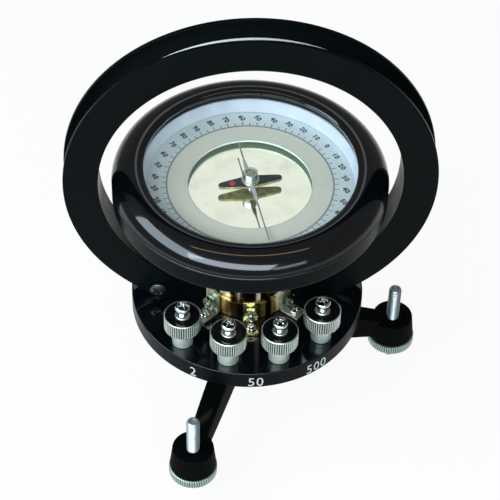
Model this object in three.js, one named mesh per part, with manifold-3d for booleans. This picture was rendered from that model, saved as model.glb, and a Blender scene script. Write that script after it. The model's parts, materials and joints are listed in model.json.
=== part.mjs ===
// Tangent galvanometer: a wound coil ring stands upright on a turntable, with a compass box at its centre.
// The turntable turns on a cast tripod with three levelling screws and carries four screw terminals.
// Millimetres, +Z up, X along the coil's plane, -Y to the front, where the terminals are.
// The origin is the middle of the pivot bolt's head, in the underside of the tripod's hub.
import Module from "manifold-3d";
import * as THREE from "three";
import { mergeVertices } from "three/addons/utils/BufferGeometryUtils.js";

const wasm = await Module();
wasm.setup();

// Clearances and facets
const seatGap = 0.3; // between pieces that rest on, or run in, each other
const cutOverrun = 2; // how far a cutter stands past the face that it opens
const weldDistance = 0.0001;
const largeSides = 64;
const roundSides = 48;
const bossSides = 24;
const smallSides = 20;
const tinySides = 12;
const hexSides = 6;

// Tripod
const hubRadius = 22;
const hubHeight = 20.6;
const hubEdge = 1.5;
const legRadius = 79.5; // from the turning axis to a levelling screw
const legCount = 3;
const frontLegAngle = -21.2; // from -Y towards +X, as every angle on the base
const armRootSink = 5; // of each arm's root into the hub
const armKneeRadius = 40;
const armTopRoot = 19.6;
const armTopKnee = 14.6;
const armTopEnd = 1;
const armUnderRoot = 0.6;
const armUnderKnee = -5.2;
const armUnderEnd = -9.6;
const armRootWidth = 12.6;
const armEndWidth = 9.4;
const armEdge = 1;
const armSteps = 5;
const armBevelSteps = 1;
const bossTopZ = 2.7;
const bossHeight = 13;
const bossTopRadius = 10.4;
const bossFootRadius = 11.8;
const bossEdge = 0.7;

// Pivot between tripod and turntable
const boltRadius = 4;
const boltHeadAcross = 13;
const boltHeadHeight = 5.3;
const pivotNutHeight = 5;
const pivotWasherThickness = 0.8;
const pivotWasherRadius = 15;

// Levelling screws
const rodRadius = 3.3;
const rodRise = 20.8; // above the boss
const rodDrop = 12.2; // below the wheel
const rodTipRadius = 2;
const rodTipHeight = 4;
const rodEdge = 0.6;
const rodCentreRadius = 1.6;
const rodCentreDepth = 1.2;
const wheelGap = 0.5; // between the boss and the wheel when the screw is fully raised
const wheelThickness = 5;
const wheelRadius = 12.2;
const wheelRidges = 44;
const wheelRidgeDepth = 0.45;

// Turntable
const discRadius = 59;
const discThickness = 10;
const discEdge = 0.7;
const discBossRadius = 24;
const discBossHeight = 8.6;
const discBossFloor = 2.8;
const discPlateThickness = 4;
const discRimThickness = 3.5;
const discBridgeHalf = 12.5; // half the width of the solid bridge below the coil

// Coil
const coilRadius = 90;
const coilDepth = 16.8; // from the former's outer edge to its bore
const coilHalfWidth = 8.75;
const coilFlange = 2.2;
const coilFloor = 2;
const coilEdge = 0.5;
const coilSink = 9.6; // of the coil's foot into the turntable
const fineWindingDepth = 2; // 500 turns
const middleWindingDepth = 0.8; // 50 turns
const heavyWindingDepth = 0.6; // 2 turns
const tapeThickness = 0.45;
const flangeScrewAngle = -32.33; // about the coil's axis, from straight down towards +X
const flangeScrewInset = 4.9; // from the coil's outer edge
const flangeScrewHeadRadius = 4.1;
const flangeScrewHeadHeight = 2.2;
const flangeScrewRadius = 1.5;
const flangeScrewTail = 1.2;
const flangeNutAcross = 6;
const flangeNutHeight = 2.4;

// Pillar under the compass box
const pillarRadius = 20.7;
const pillarWall = 2;
const collarWall = 2;
const collarHeight = 11.2;
const headOverhang = 3.3; // of the head's flange past the tube
const headFlangeThickness = 4;
const headSpigotHeight = 9;
const bracketWidth = 7.5;
const bracketThickness = 1.5;
const bracketHeight = 14;
const bracketFootLength = 11.1; // from the leg's inner face
const bracketBend = 0.8;
const bracketBendSteps = 3;
const bracketMiddleAngle = 1.8;
const bracketSpacingAngle = 48.5;
const bracketsASide = 3;
const footScrewInset = 4; // from the end of the foot
const footScrewRadius = 1.2;
const studHeight = 7.6; // above the turntable
const studRadius = 1.5;
const studTail = 1.1;
const studHeadRadius = 2.6;
const studHeadHeight = 1.6;
const studNutAcross = 7;
const studNutHeight = 3.2;

// Terminals
const terminalInset = 9.2; // of a terminal's centre from the turntable's edge
const terminalMiddleAngle = 1.8;
const terminalSpacingAngle = 29.3;
const terminalCount = 4;
const terminalScrewRadius = 2;
const terminalHeadRadius = 3.9;
const terminalHeadHeight = 3;
const terminalTravel = 3.8; // between the knob and the screw's head
const terminalTail = 0.7;
const knobShankRadius = 5.25;
const knobShankHeight = 10.9;
const knobRadius = 9.15;
const knobHeight = 9;
const knobRidges = 36;
const knobRidgeDepth = 0.35;
const knobRim = 1;
const knobBushRadius = 3.8;
const insertThickness = 1.3;
const insertSink = 0.3;
const terminalNutAcross = 7;
const terminalNutHeight = 3.2;
const lugRadius = 4;
const lugThickness = 0.5;
const lugTailLength = 8;
const lugTailWidth = 2.2;
const crossWidth = 0.9;
const crossDepth = 1.2;
const crossReachShare = 0.62; // of the head's radius
const headRimShare = 0.25; // of a pan head's height, where its dome starts
const headSteps = 3;

// Leads from the coil to the terminals
const leadRadius = 0.6;
const leadSides = 6;
const leadSteps = 6;
const trunkRadius = 1.5; // of the four leads laced together
const trunkSides = 8;
const trunkSteps = 5;
const trunkOverhang = 3; // from the turntable's boss to where the leads fan out
const fanShare = 0.25; // of the way sideways that a lead has gone halfway out
const leadHoleRise = 3.2; // above the coil's lowest point
const leadStartInset = 3.6; // from the flange's outer face to where the leads leave the winding

// Compass box, with heights above or below the coil's centre
const boxClearance = 6.2; // to the coil's bore
const boxStep = 7; // from the band in to the foot
const boxWall = 13.8; // from the band's face to the bore
const boxSeamDrop = 2.3;
const boxBandDrop = 12.3;
const boxFootDrop = 15.5;
const boxFloorDrop = 11.8;
const boxEdge = 0.8;
const dialLedgeDrop = 8.2;
const dialThickness = 1.2;
const dialHoleShare = 0.571; // of the dial's radius
const mirrorThickness = 1.6;
const mirrorHoleRadius = 3;
const mirrorCover = 3.8; // of the dial over the edge of the mirror's recess
const linerFootWidth = 2.3;
const linerTopWidth = 0.7;
const linerHeight = 6.8;
const gasketThickness = 0.6;
const gasketWidth = 6.4;
const glassThickness = 2;
const glassClearance = 0.7; // to the bezel's bore
const bezelWall = 5.5; // outside the box's rim
const bezelWidth = 15.4; // from the outer face to the opening
const bezelLip = 1.6;
const bezelLipWidth = 3.8; // from the opening to the crest
const bezelCrestRise = 6.9;
const bezelSteps = 7;
const bezelLipSteps = 2;
const bezelShoulderShares = [0.36, 1.02, 0.92, 0.62]; // pull of its curve, over its width and height

// Spindle that the compass box turns on
const spindleFlangeRadius = 14;
const spindleFlangeThickness = 2;
const spindleRadius = 6;
const spindleTail = 2;
const spindleNutAcross = 17;
const spindleNutHeight = 5;

// Needle
const needleAngle = 10.7; // of the magnet, from +X
const magnetLength = 31.6;
const magnetWidth = 8;
const magnetTipWidth = 3.6;
const magnetThickness = 1.6;
const magnetRise = 4.9; // above the mirror
const pointerNearShare = 0.802; // of the liner's radius, as is the next
const pointerFarShare = 0.534;
const pointerWideShare = 0.41; // of the far arm, as is the next
const pointerNeckShare = 0.56;
const pointerWidth = 1.8;
const pointerNeckWidth = 0.75;
const pointerTipWidth = 0.55;
const pointerThickness = 0.4;
const pointerEyeRadius = 4;
const capFlangeRadius = 4.4;
const capFlangeThickness = 0.7;
const capRadius = 3.5;
const capHeight = 4.3;
const capStemRadius = 2;
const capHoleRadius = 1.3;
const capEdge = 0.4;
const jewelRadius = 1.9;
const jewelThickness = 1.2;
const jewelSeatRadius = 2.2;
const jewelCupRadius = 0.6;
const jewelCupDepth = 0.5;
const pinRadius = 0.8;
const pinBaseRadius = 2.4;
const pinBaseHeight = 1;
const pinTaper = 4;
const pinTipRadius = 0.12;

// Radii worked out from the sizes above
const armRootRadius = hubRadius - armRootSink;
const terminalCircle = discRadius - terminalInset;
const coilBoreRadius = coilRadius - coilDepth;
const flangeScrewCircle = coilRadius - flangeScrewInset;
const bracketFace = pillarRadius + seatGap + collarWall + seatGap;
const bracketReach = bracketFace + bracketFootLength;
const footScrewPlace = bracketReach - footScrewInset;
const headFlangeRadius = pillarRadius + headOverhang;
const trunkEnd = discBossRadius + trunkOverhang;
const boxRadius = coilBoreRadius - boxClearance;
const boxFootRadius = boxRadius - boxStep;
const boxBore = boxRadius - boxWall;
const bezelBore = boxRadius - bezelWall;
const bezelOpening = boxRadius - bezelWidth;
const bezelCrestRadius = bezelOpening + bezelLipWidth;
const boxSpigotRadius = bezelBore - seatGap;
const glassRadius = bezelBore - glassClearance;
const gasketBore = glassRadius - gasketWidth;
const dialRadius = boxBore - seatGap;
const dialHoleRadius = dialRadius * dialHoleShare;
const mirrorRecessRadius = dialHoleRadius + mirrorCover;
const linerFootRadius = dialRadius - linerFootWidth;
const linerTopRadius = dialRadius - linerTopWidth;
const pointerNearReach = linerFootRadius * pointerNearShare;
const pointerFarReach = linerFootRadius * pointerFarShare;

// Heights worked out from the sizes above
const discBossZ = hubHeight + seatGap + pivotWasherThickness + seatGap;
const discFootZ = discBossZ + discBossHeight;
const discTopZ = discFootZ + discThickness;
const coilZ = discTopZ - coilSink + coilRadius;
const leadHoleZ = discTopZ - coilSink + leadHoleRise;
const windingRadius = coilBoreRadius + coilFloor + seatGap;
const grooveHalf = coilHalfWidth - coilFlange;
const slotHalf = coilHalfWidth + seatGap;
const boxFootZ = coilZ - boxFootDrop;
const dialTopZ = coilZ - dialLedgeDrop + seatGap + dialThickness;
const boxRimZ = dialTopZ + seatGap + linerHeight;
const mirrorTopZ = coilZ - boxFloorDrop + seatGap + mirrorThickness;
const glassZ = boxRimZ + seatGap + gasketThickness + seatGap;
const spindleZ = boxFootZ - seatGap - spindleFlangeThickness;
const headTopZ = spindleZ - seatGap;
const pillarTopZ = headTopZ - headFlangeThickness - seatGap;
const bossFootZ = bossTopZ - bossHeight;
const wheelTopZ = bossFootZ - wheelGap;
const footTipZ = wheelTopZ - wheelThickness - rodDrop;

const lacquer = { color: 0x0d1112, roughness: 0.35, metalness: 0 };
const enamel = { color: 0x0a0b0c, roughness: 0.5, metalness: 0 };
const glossBlack = { color: 0x050606, roughness: 0.08, metalness: 0 };
const nickel = { color: 0xc9cdca, roughness: 0.28, metalness: 1 };
const steel = { color: 0xb8bcbb, roughness: 0.3, metalness: 1 };
const brass = { color: 0xb8923c, roughness: 0.22, metalness: 1 };
const darkBronze = { color: 0x2a241a, roughness: 0.2, metalness: 1 };
const copper = { color: 0xa8552c, roughness: 0.35, metalness: 1 };
const cotton = { color: 0xf2f2ee, roughness: 0.95, metalness: 0 };
const aluminium = { color: 0xb9bdb4, roughness: 0.45, metalness: 1 };
const mirrorFinish = { color: 0xe9eae2, roughness: 0.04, metalness: 1 };
const whitePaint = { color: 0xdfe5ec, roughness: 0.6, metalness: 0 };
const clearGlass = { color: 0xf4f8f8, roughness: 0.02, metalness: 0, transparent: true, opacity: 0.2 };
const rubber = { color: 0x161616, roughness: 0.9, metalness: 0 };
const magnetSteel = { color: 0x2c3236, roughness: 0.45, metalness: 0.6 };
const agate = { color: 0x9a6a2c, roughness: 0.15, metalness: 0 };

const radians = THREE.MathUtils.degToRad;

// Shared corners merged, empty triangles dropped, faces turned outwards
function welded(geometry) {
  const bare = geometry.index ? geometry.toNonIndexed() : geometry.clone();
  bare.deleteAttribute("normal");
  bare.deleteAttribute("uv");
  const merged = mergeVertices(bare, weldDistance);
  const corner = merged.attributes.position;
  const kept = [];
  let volume = 0;
  for (let first = 0; first < merged.index.count; first += 3) {
    const [a, b, c] = [0, 1, 2].map((step) => merged.index.getX(first + step));
    if (a === b || b === c || c === a) continue;
    kept.push(a, b, c);
    const [p, q, r] = [a, b, c].map((at) => new THREE.Vector3().fromBufferAttribute(corner, at));
    volume += p.dot(q.cross(r));
  }
  if (volume < 0) kept.reverse();
  merged.setIndex(kept);
  return merged;
}

function solid(geometry) {
  const closed = welded(geometry);
  return new wasm.Manifold(
    new wasm.Mesh({
      numProp: 3,
      vertProperties: new Float32Array(closed.attributes.position.array),
      triVerts: new Uint32Array(closed.index.array),
    }),
  );
}

function surface(body) {
  const mesh = body.getMesh();
  const geometry = new THREE.BufferGeometry();
  geometry.setAttribute("position", new THREE.BufferAttribute(new Float32Array(mesh.vertProperties), 3));
  geometry.setIndex(Array.from(mesh.triVerts));
  return geometry;
}

// One geometry from a base, with others joined to it and others cut from it
function shaped(base, joined, cut) {
  let body = solid(base);
  for (const geometry of joined) body = body.add(solid(geometry));
  for (const geometry of cut) body = body.subtract(solid(geometry));
  return surface(body);
}

// A solid of revolution about Z: an outline of [radius, height] that starts and ends on the axis, or closes
function turned(outline, sides) {
  const points = outline.map(([radius, height]) => new THREE.Vector2(radius, height));
  const onAxis = outline[0][0] === 0 && outline[outline.length - 1][0] === 0;
  if (!onAxis) points.push(points[0].clone());
  return new THREE.LatheGeometry(points, sides).rotateX(Math.PI / 2);
}

function disc(radius, fromZ, toZ, sides) {
  return turned([[0, fromZ], [radius, fromZ], [radius, toZ], [0, toZ]], sides);
}

function washer(bore, radius, fromZ, toZ, sides) {
  return turned([[bore, fromZ], [radius, fromZ], [radius, toZ], [bore, toZ]], sides);
}

function extruded(shape, fromZ, toZ) {
  const bar = new THREE.ExtrudeGeometry(shape, { depth: toZ - fromZ, bevelEnabled: false });
  return bar.translate(0, 0, fromZ);
}

function block(x0, x1, y0, y1, z0, z1) {
  const box = new THREE.BoxGeometry(x1 - x0, y1 - y0, z1 - z0);
  return box.translate((x0 + x1) / 2, (y0 + y1) / 2, (z0 + z1) / 2);
}

// A hexagon's radius to its corners, from its width across flats
function cornerRadius(across) {
  return across / 2 / Math.cos(Math.PI / hexSides);
}

// A hexagon nut or head with a round hole; no hole where the bore is zero
function hexagon(across, bore, fromZ, toZ) {
  const body = disc(cornerRadius(across), fromZ, toZ, hexSides);
  if (bore === 0) return body;
  return shaped(body, [], [disc(bore, fromZ - cutOverrun, toZ + cutOverrun, tinySides)]);
}

// Straight knurling: a star outline carried up the height, with a round bore through it
function knurled(radius, ridges, depth, bore, fromZ, toZ) {
  const star = new THREE.Shape();
  for (let step = 0; step < 2 * ridges; step += 1) {
    const angle = (Math.PI * step) / ridges;
    const reach = step % 2 === 0 ? radius : radius - depth;
    const x = reach * Math.cos(angle);
    const y = reach * Math.sin(angle);
    if (step === 0) star.moveTo(x, y);
    else star.lineTo(x, y);
  }
  star.closePath();
  const hole = disc(bore, fromZ - cutOverrun, toZ + cutOverrun, smallSides);
  return shaped(extruded(star, fromZ, toZ), [], [hole]);
}

// A pan head with its cross recess, on a plain shank below it
function panScrew(headRadius, headHeight, shankRadius, tailZ, seatZ) {
  const dome = [[0, seatZ + headHeight]];
  for (let step = 1; step < headSteps; step += 1) {
    const angle = (Math.PI / 2) * (step / headSteps);
    dome.push([headRadius * Math.sin(angle), seatZ + headHeight * Math.sqrt(Math.cos(angle))]);
  }
  dome.push([headRadius, seatZ + headHeight * headRimShare]);
  const outline = [...dome, [headRadius, seatZ], [shankRadius, seatZ], [shankRadius, tailZ], [0, tailZ]];
  const reach = headRadius * crossReachShare;
  const half = crossWidth / 2;
  const floor = seatZ + headHeight - crossDepth;
  const roof = seatZ + headHeight + cutOverrun;
  const recess = [
    block(-reach, reach, -half, half, floor, roof),
    block(-half, half, -reach, reach, floor, roof),
  ];
  return shaped(turned(outline, tinySides), [], recess);
}

// Azimuth on the base: from -Y towards +X
function azimuth(angle, radius) {
  return [radius * Math.sin(radians(angle)), -radius * Math.cos(radians(angle))];
}

// Turns a geometry drawn along +X so that it points along an azimuth
function facing(geometry, angle) {
  return geometry.rotateZ(radians(angle) - Math.PI / 2);
}

// A disc or ring about the coil's own axis, which runs along Y through its centre
function aboutCoil(geometry) {
  return geometry.rotateX(Math.PI / 2).translate(0, 0, coilZ);
}

const model = new THREE.Group();

function piece(name, geometry, finish) {
  const mesh = new THREE.Mesh(geometry, new THREE.MeshStandardMaterial(finish));
  mesh.name = name;
  model.add(mesh);
}

// Tripod

// One arm: its side view swept out from the hub, arched, and narrower towards the foot
function arm() {
  const upper = new THREE.QuadraticBezierCurve(
    new THREE.Vector2(armRootRadius, armTopRoot),
    new THREE.Vector2(armKneeRadius, 2 * armTopKnee - (armTopRoot + armTopEnd) / 2),
    new THREE.Vector2(legRadius, armTopEnd),
  );
  const under = new THREE.QuadraticBezierCurve(
    new THREE.Vector2(armRootRadius, armUnderRoot),
    new THREE.Vector2(armKneeRadius, 2 * armUnderKnee - (armUnderRoot + armUnderEnd) / 2),
    new THREE.Vector2(legRadius, armUnderEnd),
  );
  const side = new THREE.Shape([...under.getPoints(armSteps), ...upper.getPoints(armSteps).reverse()]);
  const depth = armRootWidth - 2 * armEdge;
  const bar = new THREE.ExtrudeGeometry(side, {
    depth,
    bevelThickness: armEdge,
    bevelSize: armEdge,
    bevelOffset: -armEdge,
    bevelSegments: armBevelSteps,
  });
  bar.translate(0, 0, -depth / 2).rotateX(Math.PI / 2);
  const corner = bar.attributes.position;
  for (let at = 0; at < corner.count; at += 1) {
    const along = (corner.getX(at) - armRootRadius) / (legRadius - armRootRadius);
    const width = armRootWidth + (armEndWidth - armRootWidth) * along;
    corner.setY(at, (corner.getY(at) * width) / armRootWidth);
  }
  return bar;
}

function legAngle(leg) {
  return frontLegAngle + (360 / legCount) * leg;
}

function tripodBase() {
  const hub = turned(
    [
      [0, 0],
      [hubRadius - hubEdge, 0],
      [hubRadius, hubEdge],
      [hubRadius, hubHeight - hubEdge],
      [hubRadius - hubEdge, hubHeight],
      [0, hubHeight],
    ],
    bossSides,
  );
  const joined = [];
  const headRoom = cornerRadius(boltHeadAcross) + seatGap;
  const cut = [
    disc(boltRadius + seatGap, -cutOverrun, hubHeight + cutOverrun, smallSides),
    disc(headRoom, -cutOverrun, boltHeadHeight + seatGap, smallSides),
  ];
  for (let leg = 0; leg < legCount; leg += 1) {
    const [x, y] = azimuth(legAngle(leg), legRadius);
    const boss = turned(
      [
        [0, bossFootZ],
        [bossFootRadius, bossFootZ],
        [bossTopRadius, bossTopZ - bossEdge],
        [bossTopRadius - bossEdge, bossTopZ],
        [0, bossTopZ],
      ],
      bossSides,
    );
    joined.push(facing(arm(), legAngle(leg)), boss.translate(x, y, 0));
    const bore = disc(rodRadius + seatGap, bossFootZ - cutOverrun, bossTopZ + cutOverrun, smallSides);
    cut.push(bore.translate(x, y, 0));
  }
  return shaped(hub, joined, cut);
}

piece("tripod_base", tripodBase(), enamel);

// Pivot bolt, with its head flush in the hub's underside and its nut in the turntable's boss
const pivotNutZ = discBossZ + discBossFloor + seatGap;
const boltEndZ = pivotNutZ + pivotNutHeight + seatGap;
piece(
  "pivot_bolt",
  shaped(
    hexagon(boltHeadAcross, 0, 0, boltHeadHeight),
    [disc(boltRadius, boltHeadHeight / 2, boltEndZ, smallSides)],
    [],
  ),
  steel,
);
piece(
  "pivot_nut",
  hexagon(boltHeadAcross, boltRadius + seatGap, pivotNutZ, pivotNutZ + pivotNutHeight),
  steel,
);
piece(
  "pivot_washer",
  washer(
    boltRadius + seatGap,
    pivotWasherRadius,
    hubHeight + seatGap,
    hubHeight + seatGap + pivotWasherThickness,
    smallSides,
  ),
  brass,
);

// Levelling screws
const legNames = ["front", "right", "rear"];
legNames.forEach((place, leg) => {
  const [x, y] = azimuth(legAngle(leg), legRadius);
  const topZ = bossTopZ + rodRise;
  const rod = turned(
    [
      [0, footTipZ],
      [rodTipRadius, footTipZ],
      [rodRadius, footTipZ + rodTipHeight],
      [rodRadius, topZ - rodEdge],
      [rodRadius - rodEdge, topZ],
      [rodCentreRadius, topZ],
      [0, topZ - rodCentreDepth],
    ],
    smallSides,
  );
  piece(`levelling_screw_${place}`, welded(rod.translate(x, y, 0)), steel);
  const wheel = knurled(
    wheelRadius,
    wheelRidges,
    wheelRidgeDepth,
    rodRadius + seatGap,
    wheelTopZ - wheelThickness,
    wheelTopZ,
  );
  piece(`levelling_wheel_${place}`, wheel.translate(x, y, 0), nickel);
});

// Turntable

function terminalAngle(at) {
  return terminalMiddleAngle + terminalSpacingAngle * (at - (terminalCount - 1) / 2);
}

function bracketAngle(at) {
  const side = Math.floor(at / bracketsASide);
  const place = (at % bracketsASide) - (bracketsASide - 1) / 2;
  return bracketMiddleAngle + bracketSpacingAngle * place + 180 * side;
}

const bracketAngles = Array.from({ length: 2 * bracketsASide }, (unused, at) => bracketAngle(at));
const terminalAngles = Array.from({ length: terminalCount }, (unused, at) => terminalAngle(at));

// The slot that the coil's foot stands in
function coilCut() {
  return aboutCoil(disc(coilRadius + seatGap, -slotHalf, slotHalf, largeSides));
}

// The underside is hollow in front of and behind a solid bridge that carries the coil
function underPocket(side) {
  const radius = discRadius - discRimThickness;
  const roof = discTopZ - discPlateThickness;
  const ring = solid(washer(discBossRadius, radius, discFootZ - cutOverrun, roof, roundSides));
  const half = block(
    -discRadius,
    discRadius,
    side > 0 ? discBridgeHalf : -discRadius,
    side > 0 ? discRadius : -discBridgeHalf,
    discFootZ - 2 * cutOverrun,
    discTopZ,
  );
  return surface(ring.intersect(solid(half)));
}

function turntableDisc() {
  const body = turned(
    [
      [0, discBossZ],
      [discBossRadius, discBossZ],
      [discBossRadius, discFootZ],
      [discRadius - discEdge, discFootZ],
      [discRadius, discFootZ + discEdge],
      [discRadius, discTopZ - discEdge],
      [discRadius - discEdge, discTopZ],
      [0, discTopZ],
    ],
    largeSides,
  );
  const nutRoom = cornerRadius(boltHeadAcross) + 2 * seatGap;
  const cut = [
    coilCut(),
    underPocket(-1),
    underPocket(1),
    disc(boltRadius + seatGap, discBossZ - cutOverrun, discTopZ, smallSides),
    disc(nutRoom, discBossZ + discBossFloor, discTopZ, smallSides),
  ];
  for (const angle of terminalAngles) {
    const [x, y] = azimuth(angle, terminalCircle);
    const hole = disc(terminalScrewRadius + seatGap, discFootZ, discTopZ + cutOverrun, tinySides);
    cut.push(hole.translate(x, y, 0));
  }
  for (const angle of bracketAngles) {
    const [x, y] = azimuth(angle, footScrewPlace);
    const floor = discTopZ - discPlateThickness - seatGap;
    const hole = disc(footScrewRadius + seatGap, floor, discTopZ + cutOverrun, tinySides);
    cut.push(hole.translate(x, y, 0));
  }
  const leadHole = disc(trunkRadius + seatGap, 0, discBossRadius + cutOverrun, tinySides);
  cut.push(leadHole.rotateX(Math.PI / 2).translate(0, 0, leadHoleZ));
  return shaped(body, [], cut);
}

piece("turntable_disc", turntableDisc(), glossBlack);

const flangeScrewX = flangeScrewCircle * Math.sin(radians(flangeScrewAngle));
const flangeScrewZ = coilZ - flangeScrewCircle * Math.cos(radians(flangeScrewAngle));

// Coil former: a channel section turned about the coil's axis
function coilFormer() {
  const floor = coilBoreRadius + coilFloor;
  const channel = turned(
    [
      [coilBoreRadius, -coilHalfWidth],
      [coilRadius - coilEdge, -coilHalfWidth],
      [coilRadius, -coilHalfWidth + coilEdge],
      [coilRadius, -grooveHalf],
      [floor, -grooveHalf],
      [floor, grooveHalf],
      [coilRadius, grooveHalf],
      [coilRadius, coilHalfWidth - coilEdge],
      [coilRadius - coilEdge, coilHalfWidth],
      [coilBoreRadius, coilHalfWidth],
    ],
    largeSides,
  );
  const leadHole = disc(trunkRadius + seatGap, 0, coilHalfWidth + cutOverrun, tinySides);
  const cut = [leadHole.rotateX(Math.PI / 2).translate(0, 0, leadHoleZ)];
  const screwHole = disc(flangeScrewRadius + seatGap, 0, coilHalfWidth + cutOverrun, tinySides);
  cut.push(screwHole.rotateX(Math.PI / 2).translate(flangeScrewX, 0, flangeScrewZ));
  return shaped(aboutCoil(channel), [], cut);
}

piece("coil_former", coilFormer(), lacquer);

const layers = [
  ["winding_500_turns", fineWindingDepth, copper],
  ["winding_50_turns", middleWindingDepth, copper],
  ["winding_2_turns", heavyWindingDepth, copper],
  ["winding_tape", tapeThickness, cotton],
];
let layerRadius = windingRadius;
const layerHalf = grooveHalf - seatGap;
for (const [name, depth, finish] of layers) {
  const layer = washer(layerRadius, layerRadius + depth, -layerHalf, layerHalf, roundSides);
  piece(name, welded(aboutCoil(layer)), finish);
  layerRadius += depth + seatGap;
}

// A screw through the front flange, with its nut in the groove, anchors the tape's end
const flangeScrewTailZ = grooveHalf - seatGap - flangeNutHeight - flangeScrewTail;
piece(
  "flange_screw",
  shaped(
    panScrew(
      flangeScrewHeadRadius,
      flangeScrewHeadHeight,
      flangeScrewRadius,
      flangeScrewTailZ,
      coilHalfWidth + seatGap,
    ),
    [hexagon(flangeNutAcross, 0, grooveHalf - seatGap - flangeNutHeight, grooveHalf - seatGap)],
    [],
  )
    .rotateX(Math.PI / 2)
    .translate(flangeScrewX, 0, flangeScrewZ),
  brass,
);

// Pillar: a tube slotted at its foot, where it straddles the coil, in a split brass collar

function studHole(angle) {
  const hole = disc(studRadius + seatGap, pillarRadius / 2, bracketReach, tinySides).rotateY(Math.PI / 2);
  return facing(hole, angle).translate(0, 0, discTopZ + studHeight);
}

function pillarTube() {
  const tube = washer(pillarRadius - pillarWall, pillarRadius, discTopZ + seatGap, pillarTopZ, roundSides);
  const straddle = aboutCoil(
    washer(coilBoreRadius - seatGap, coilRadius + seatGap, -slotHalf, slotHalf, largeSides),
  );
  return shaped(tube, [], [straddle, ...bracketAngles.map(studHole)]);
}

piece("pillar_tube", pillarTube(), darkBronze);

function collarHalf(side) {
  const bore = pillarRadius + seatGap;
  const foot = discTopZ + seatGap;
  const ring = solid(washer(bore, bore + collarWall, foot, foot + collarHeight, roundSides));
  const half = block(
    -discRadius,
    discRadius,
    side > 0 ? slotHalf : -discRadius,
    side > 0 ? discRadius : -slotHalf,
    discFootZ,
    coilZ,
  );
  let body = ring.intersect(solid(half));
  for (const angle of bracketAngles) body = body.subtract(solid(studHole(angle)));
  return surface(body);
}

piece("collar_front", collarHalf(-1), brass);
piece("collar_rear", collarHalf(1), brass);

// An angle bracket, drawn with its foot along +X, then turned to its azimuth
function bracket(angle) {
  const bend = new THREE.Path();
  const inner = bracketFace + bracketThickness;
  const outerRadius = bracketBend + bracketThickness;
  bend.absarc(inner + bracketBend, outerRadius, bracketBend, Math.PI, 1.5 * Math.PI, false);
  const outerBend = new THREE.Path();
  outerBend.absarc(inner + bracketBend, outerRadius, outerRadius, 1.5 * Math.PI, Math.PI, true);
  const side = new THREE.Shape([
    new THREE.Vector2(bracketFace, bracketHeight),
    new THREE.Vector2(inner, bracketHeight),
    ...bend.getPoints(bracketBendSteps),
    new THREE.Vector2(bracketReach, bracketThickness),
    new THREE.Vector2(bracketReach, 0),
    ...outerBend.getPoints(bracketBendSteps),
  ]);
  const strip = extruded(side, -bracketWidth / 2, bracketWidth / 2).rotateX(Math.PI / 2);
  const footHole = disc(footScrewRadius + seatGap, -cutOverrun, bracketThickness + cutOverrun, tinySides);
  const legHole = disc(studRadius + seatGap, pillarRadius, bracketReach, tinySides).rotateY(Math.PI / 2);
  const body = shaped(strip, [], [
    footHole.translate(footScrewPlace, 0, 0),
    legHole.translate(0, 0, studHeight - seatGap),
  ]);
  return facing(body, angle).translate(0, 0, discTopZ + seatGap);
}

const bracketNames = ["front_left", "front", "front_right", "rear_right", "rear", "rear_left"];
bracketNames.forEach((place, at) => {
  piece(`bracket_${place}`, bracket(bracketAngles[at]), brass);
});

const nutFace = bracketFace + bracketThickness + seatGap;
const studInside = Math.sqrt((pillarRadius - pillarWall) ** 2 - studHeadRadius ** 2) - seatGap;

// A bolt from inside the pillar, through the collar and a bracket's leg, with its nut outside
function bracketBolt(angle) {
  const head = disc(studHeadRadius, studInside - studHeadHeight, studInside, tinySides);
  const tail = nutFace + studNutHeight + studTail;
  const shank = disc(studRadius, studInside - studHeadHeight / 2, tail, tinySides);
  const nut = hexagon(studNutAcross, 0, nutFace, nutFace + studNutHeight);
  const bolt = shaped(head, [shank, nut], []).rotateY(Math.PI / 2);
  return facing(bolt, angle).translate(0, 0, discTopZ + studHeight);
}

bracketNames.forEach((place, at) => {
  piece(`bracket_bolt_${place}`, bracketBolt(bracketAngles[at]), steel);
});

// Flanged bush in the top of the pillar, which the compass box's spindle turns in
function pillarHead() {
  const bore = spindleRadius + seatGap;
  const spigot = pillarRadius - pillarWall - seatGap;
  const flangeZ = headTopZ - headFlangeThickness;
  return turned(
    [
      [bore, flangeZ - headSpigotHeight],
      [spigot, flangeZ - headSpigotHeight],
      [spigot, flangeZ],
      [headFlangeRadius, flangeZ],
      [headFlangeRadius, headTopZ],
      [bore, headTopZ],
    ],
    roundSides,
  );
}

piece("pillar_head", welded(pillarHead()), brass);

// Terminals
const knobFootZ = discTopZ + seatGap;
const knobNeckZ = knobFootZ + knobShankHeight;
const knobTopZ = knobNeckZ + knobHeight;
const lugZ = discTopZ - discPlateThickness - seatGap - lugThickness;
const terminalNutZ = lugZ - seatGap - terminalNutHeight;

function atTerminal(geometry, at) {
  const [x, y] = azimuth(terminalAngles[at], terminalCircle);
  return geometry.translate(x, y, 0);
}

function knobBody() {
  const bore = terminalScrewRadius + seatGap;
  const head = knurled(knobRadius, knobRidges, knobRidgeDepth, bore, knobNeckZ, knobTopZ);
  const shank = washer(bore, knobShankRadius, knobFootZ, knobNeckZ + knobRim, smallSides);
  const recessZ = knobTopZ - insertSink - insertThickness - seatGap;
  const recess = washer(knobBushRadius, knobRadius - knobRim, recessZ, knobTopZ + cutOverrun, smallSides);
  return shaped(head, [shank], [recess]);
}

const terminalNames = ["1", "2", "3", "4"];
terminalNames.forEach((number, at) => {
  piece(`terminal_knob_${number}`, atTerminal(knobBody(), at), nickel);
  const insert = washer(
    knobBushRadius + seatGap,
    knobRadius - knobRim - seatGap,
    knobTopZ - insertSink - insertThickness,
    knobTopZ - insertSink,
    smallSides,
  );
  piece(`terminal_insert_${number}`, welded(atTerminal(insert, at)), glossBlack);
});

const terminalTailZ = terminalNutZ - terminalTail;
const terminalSeatZ = knobTopZ + terminalTravel;

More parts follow.
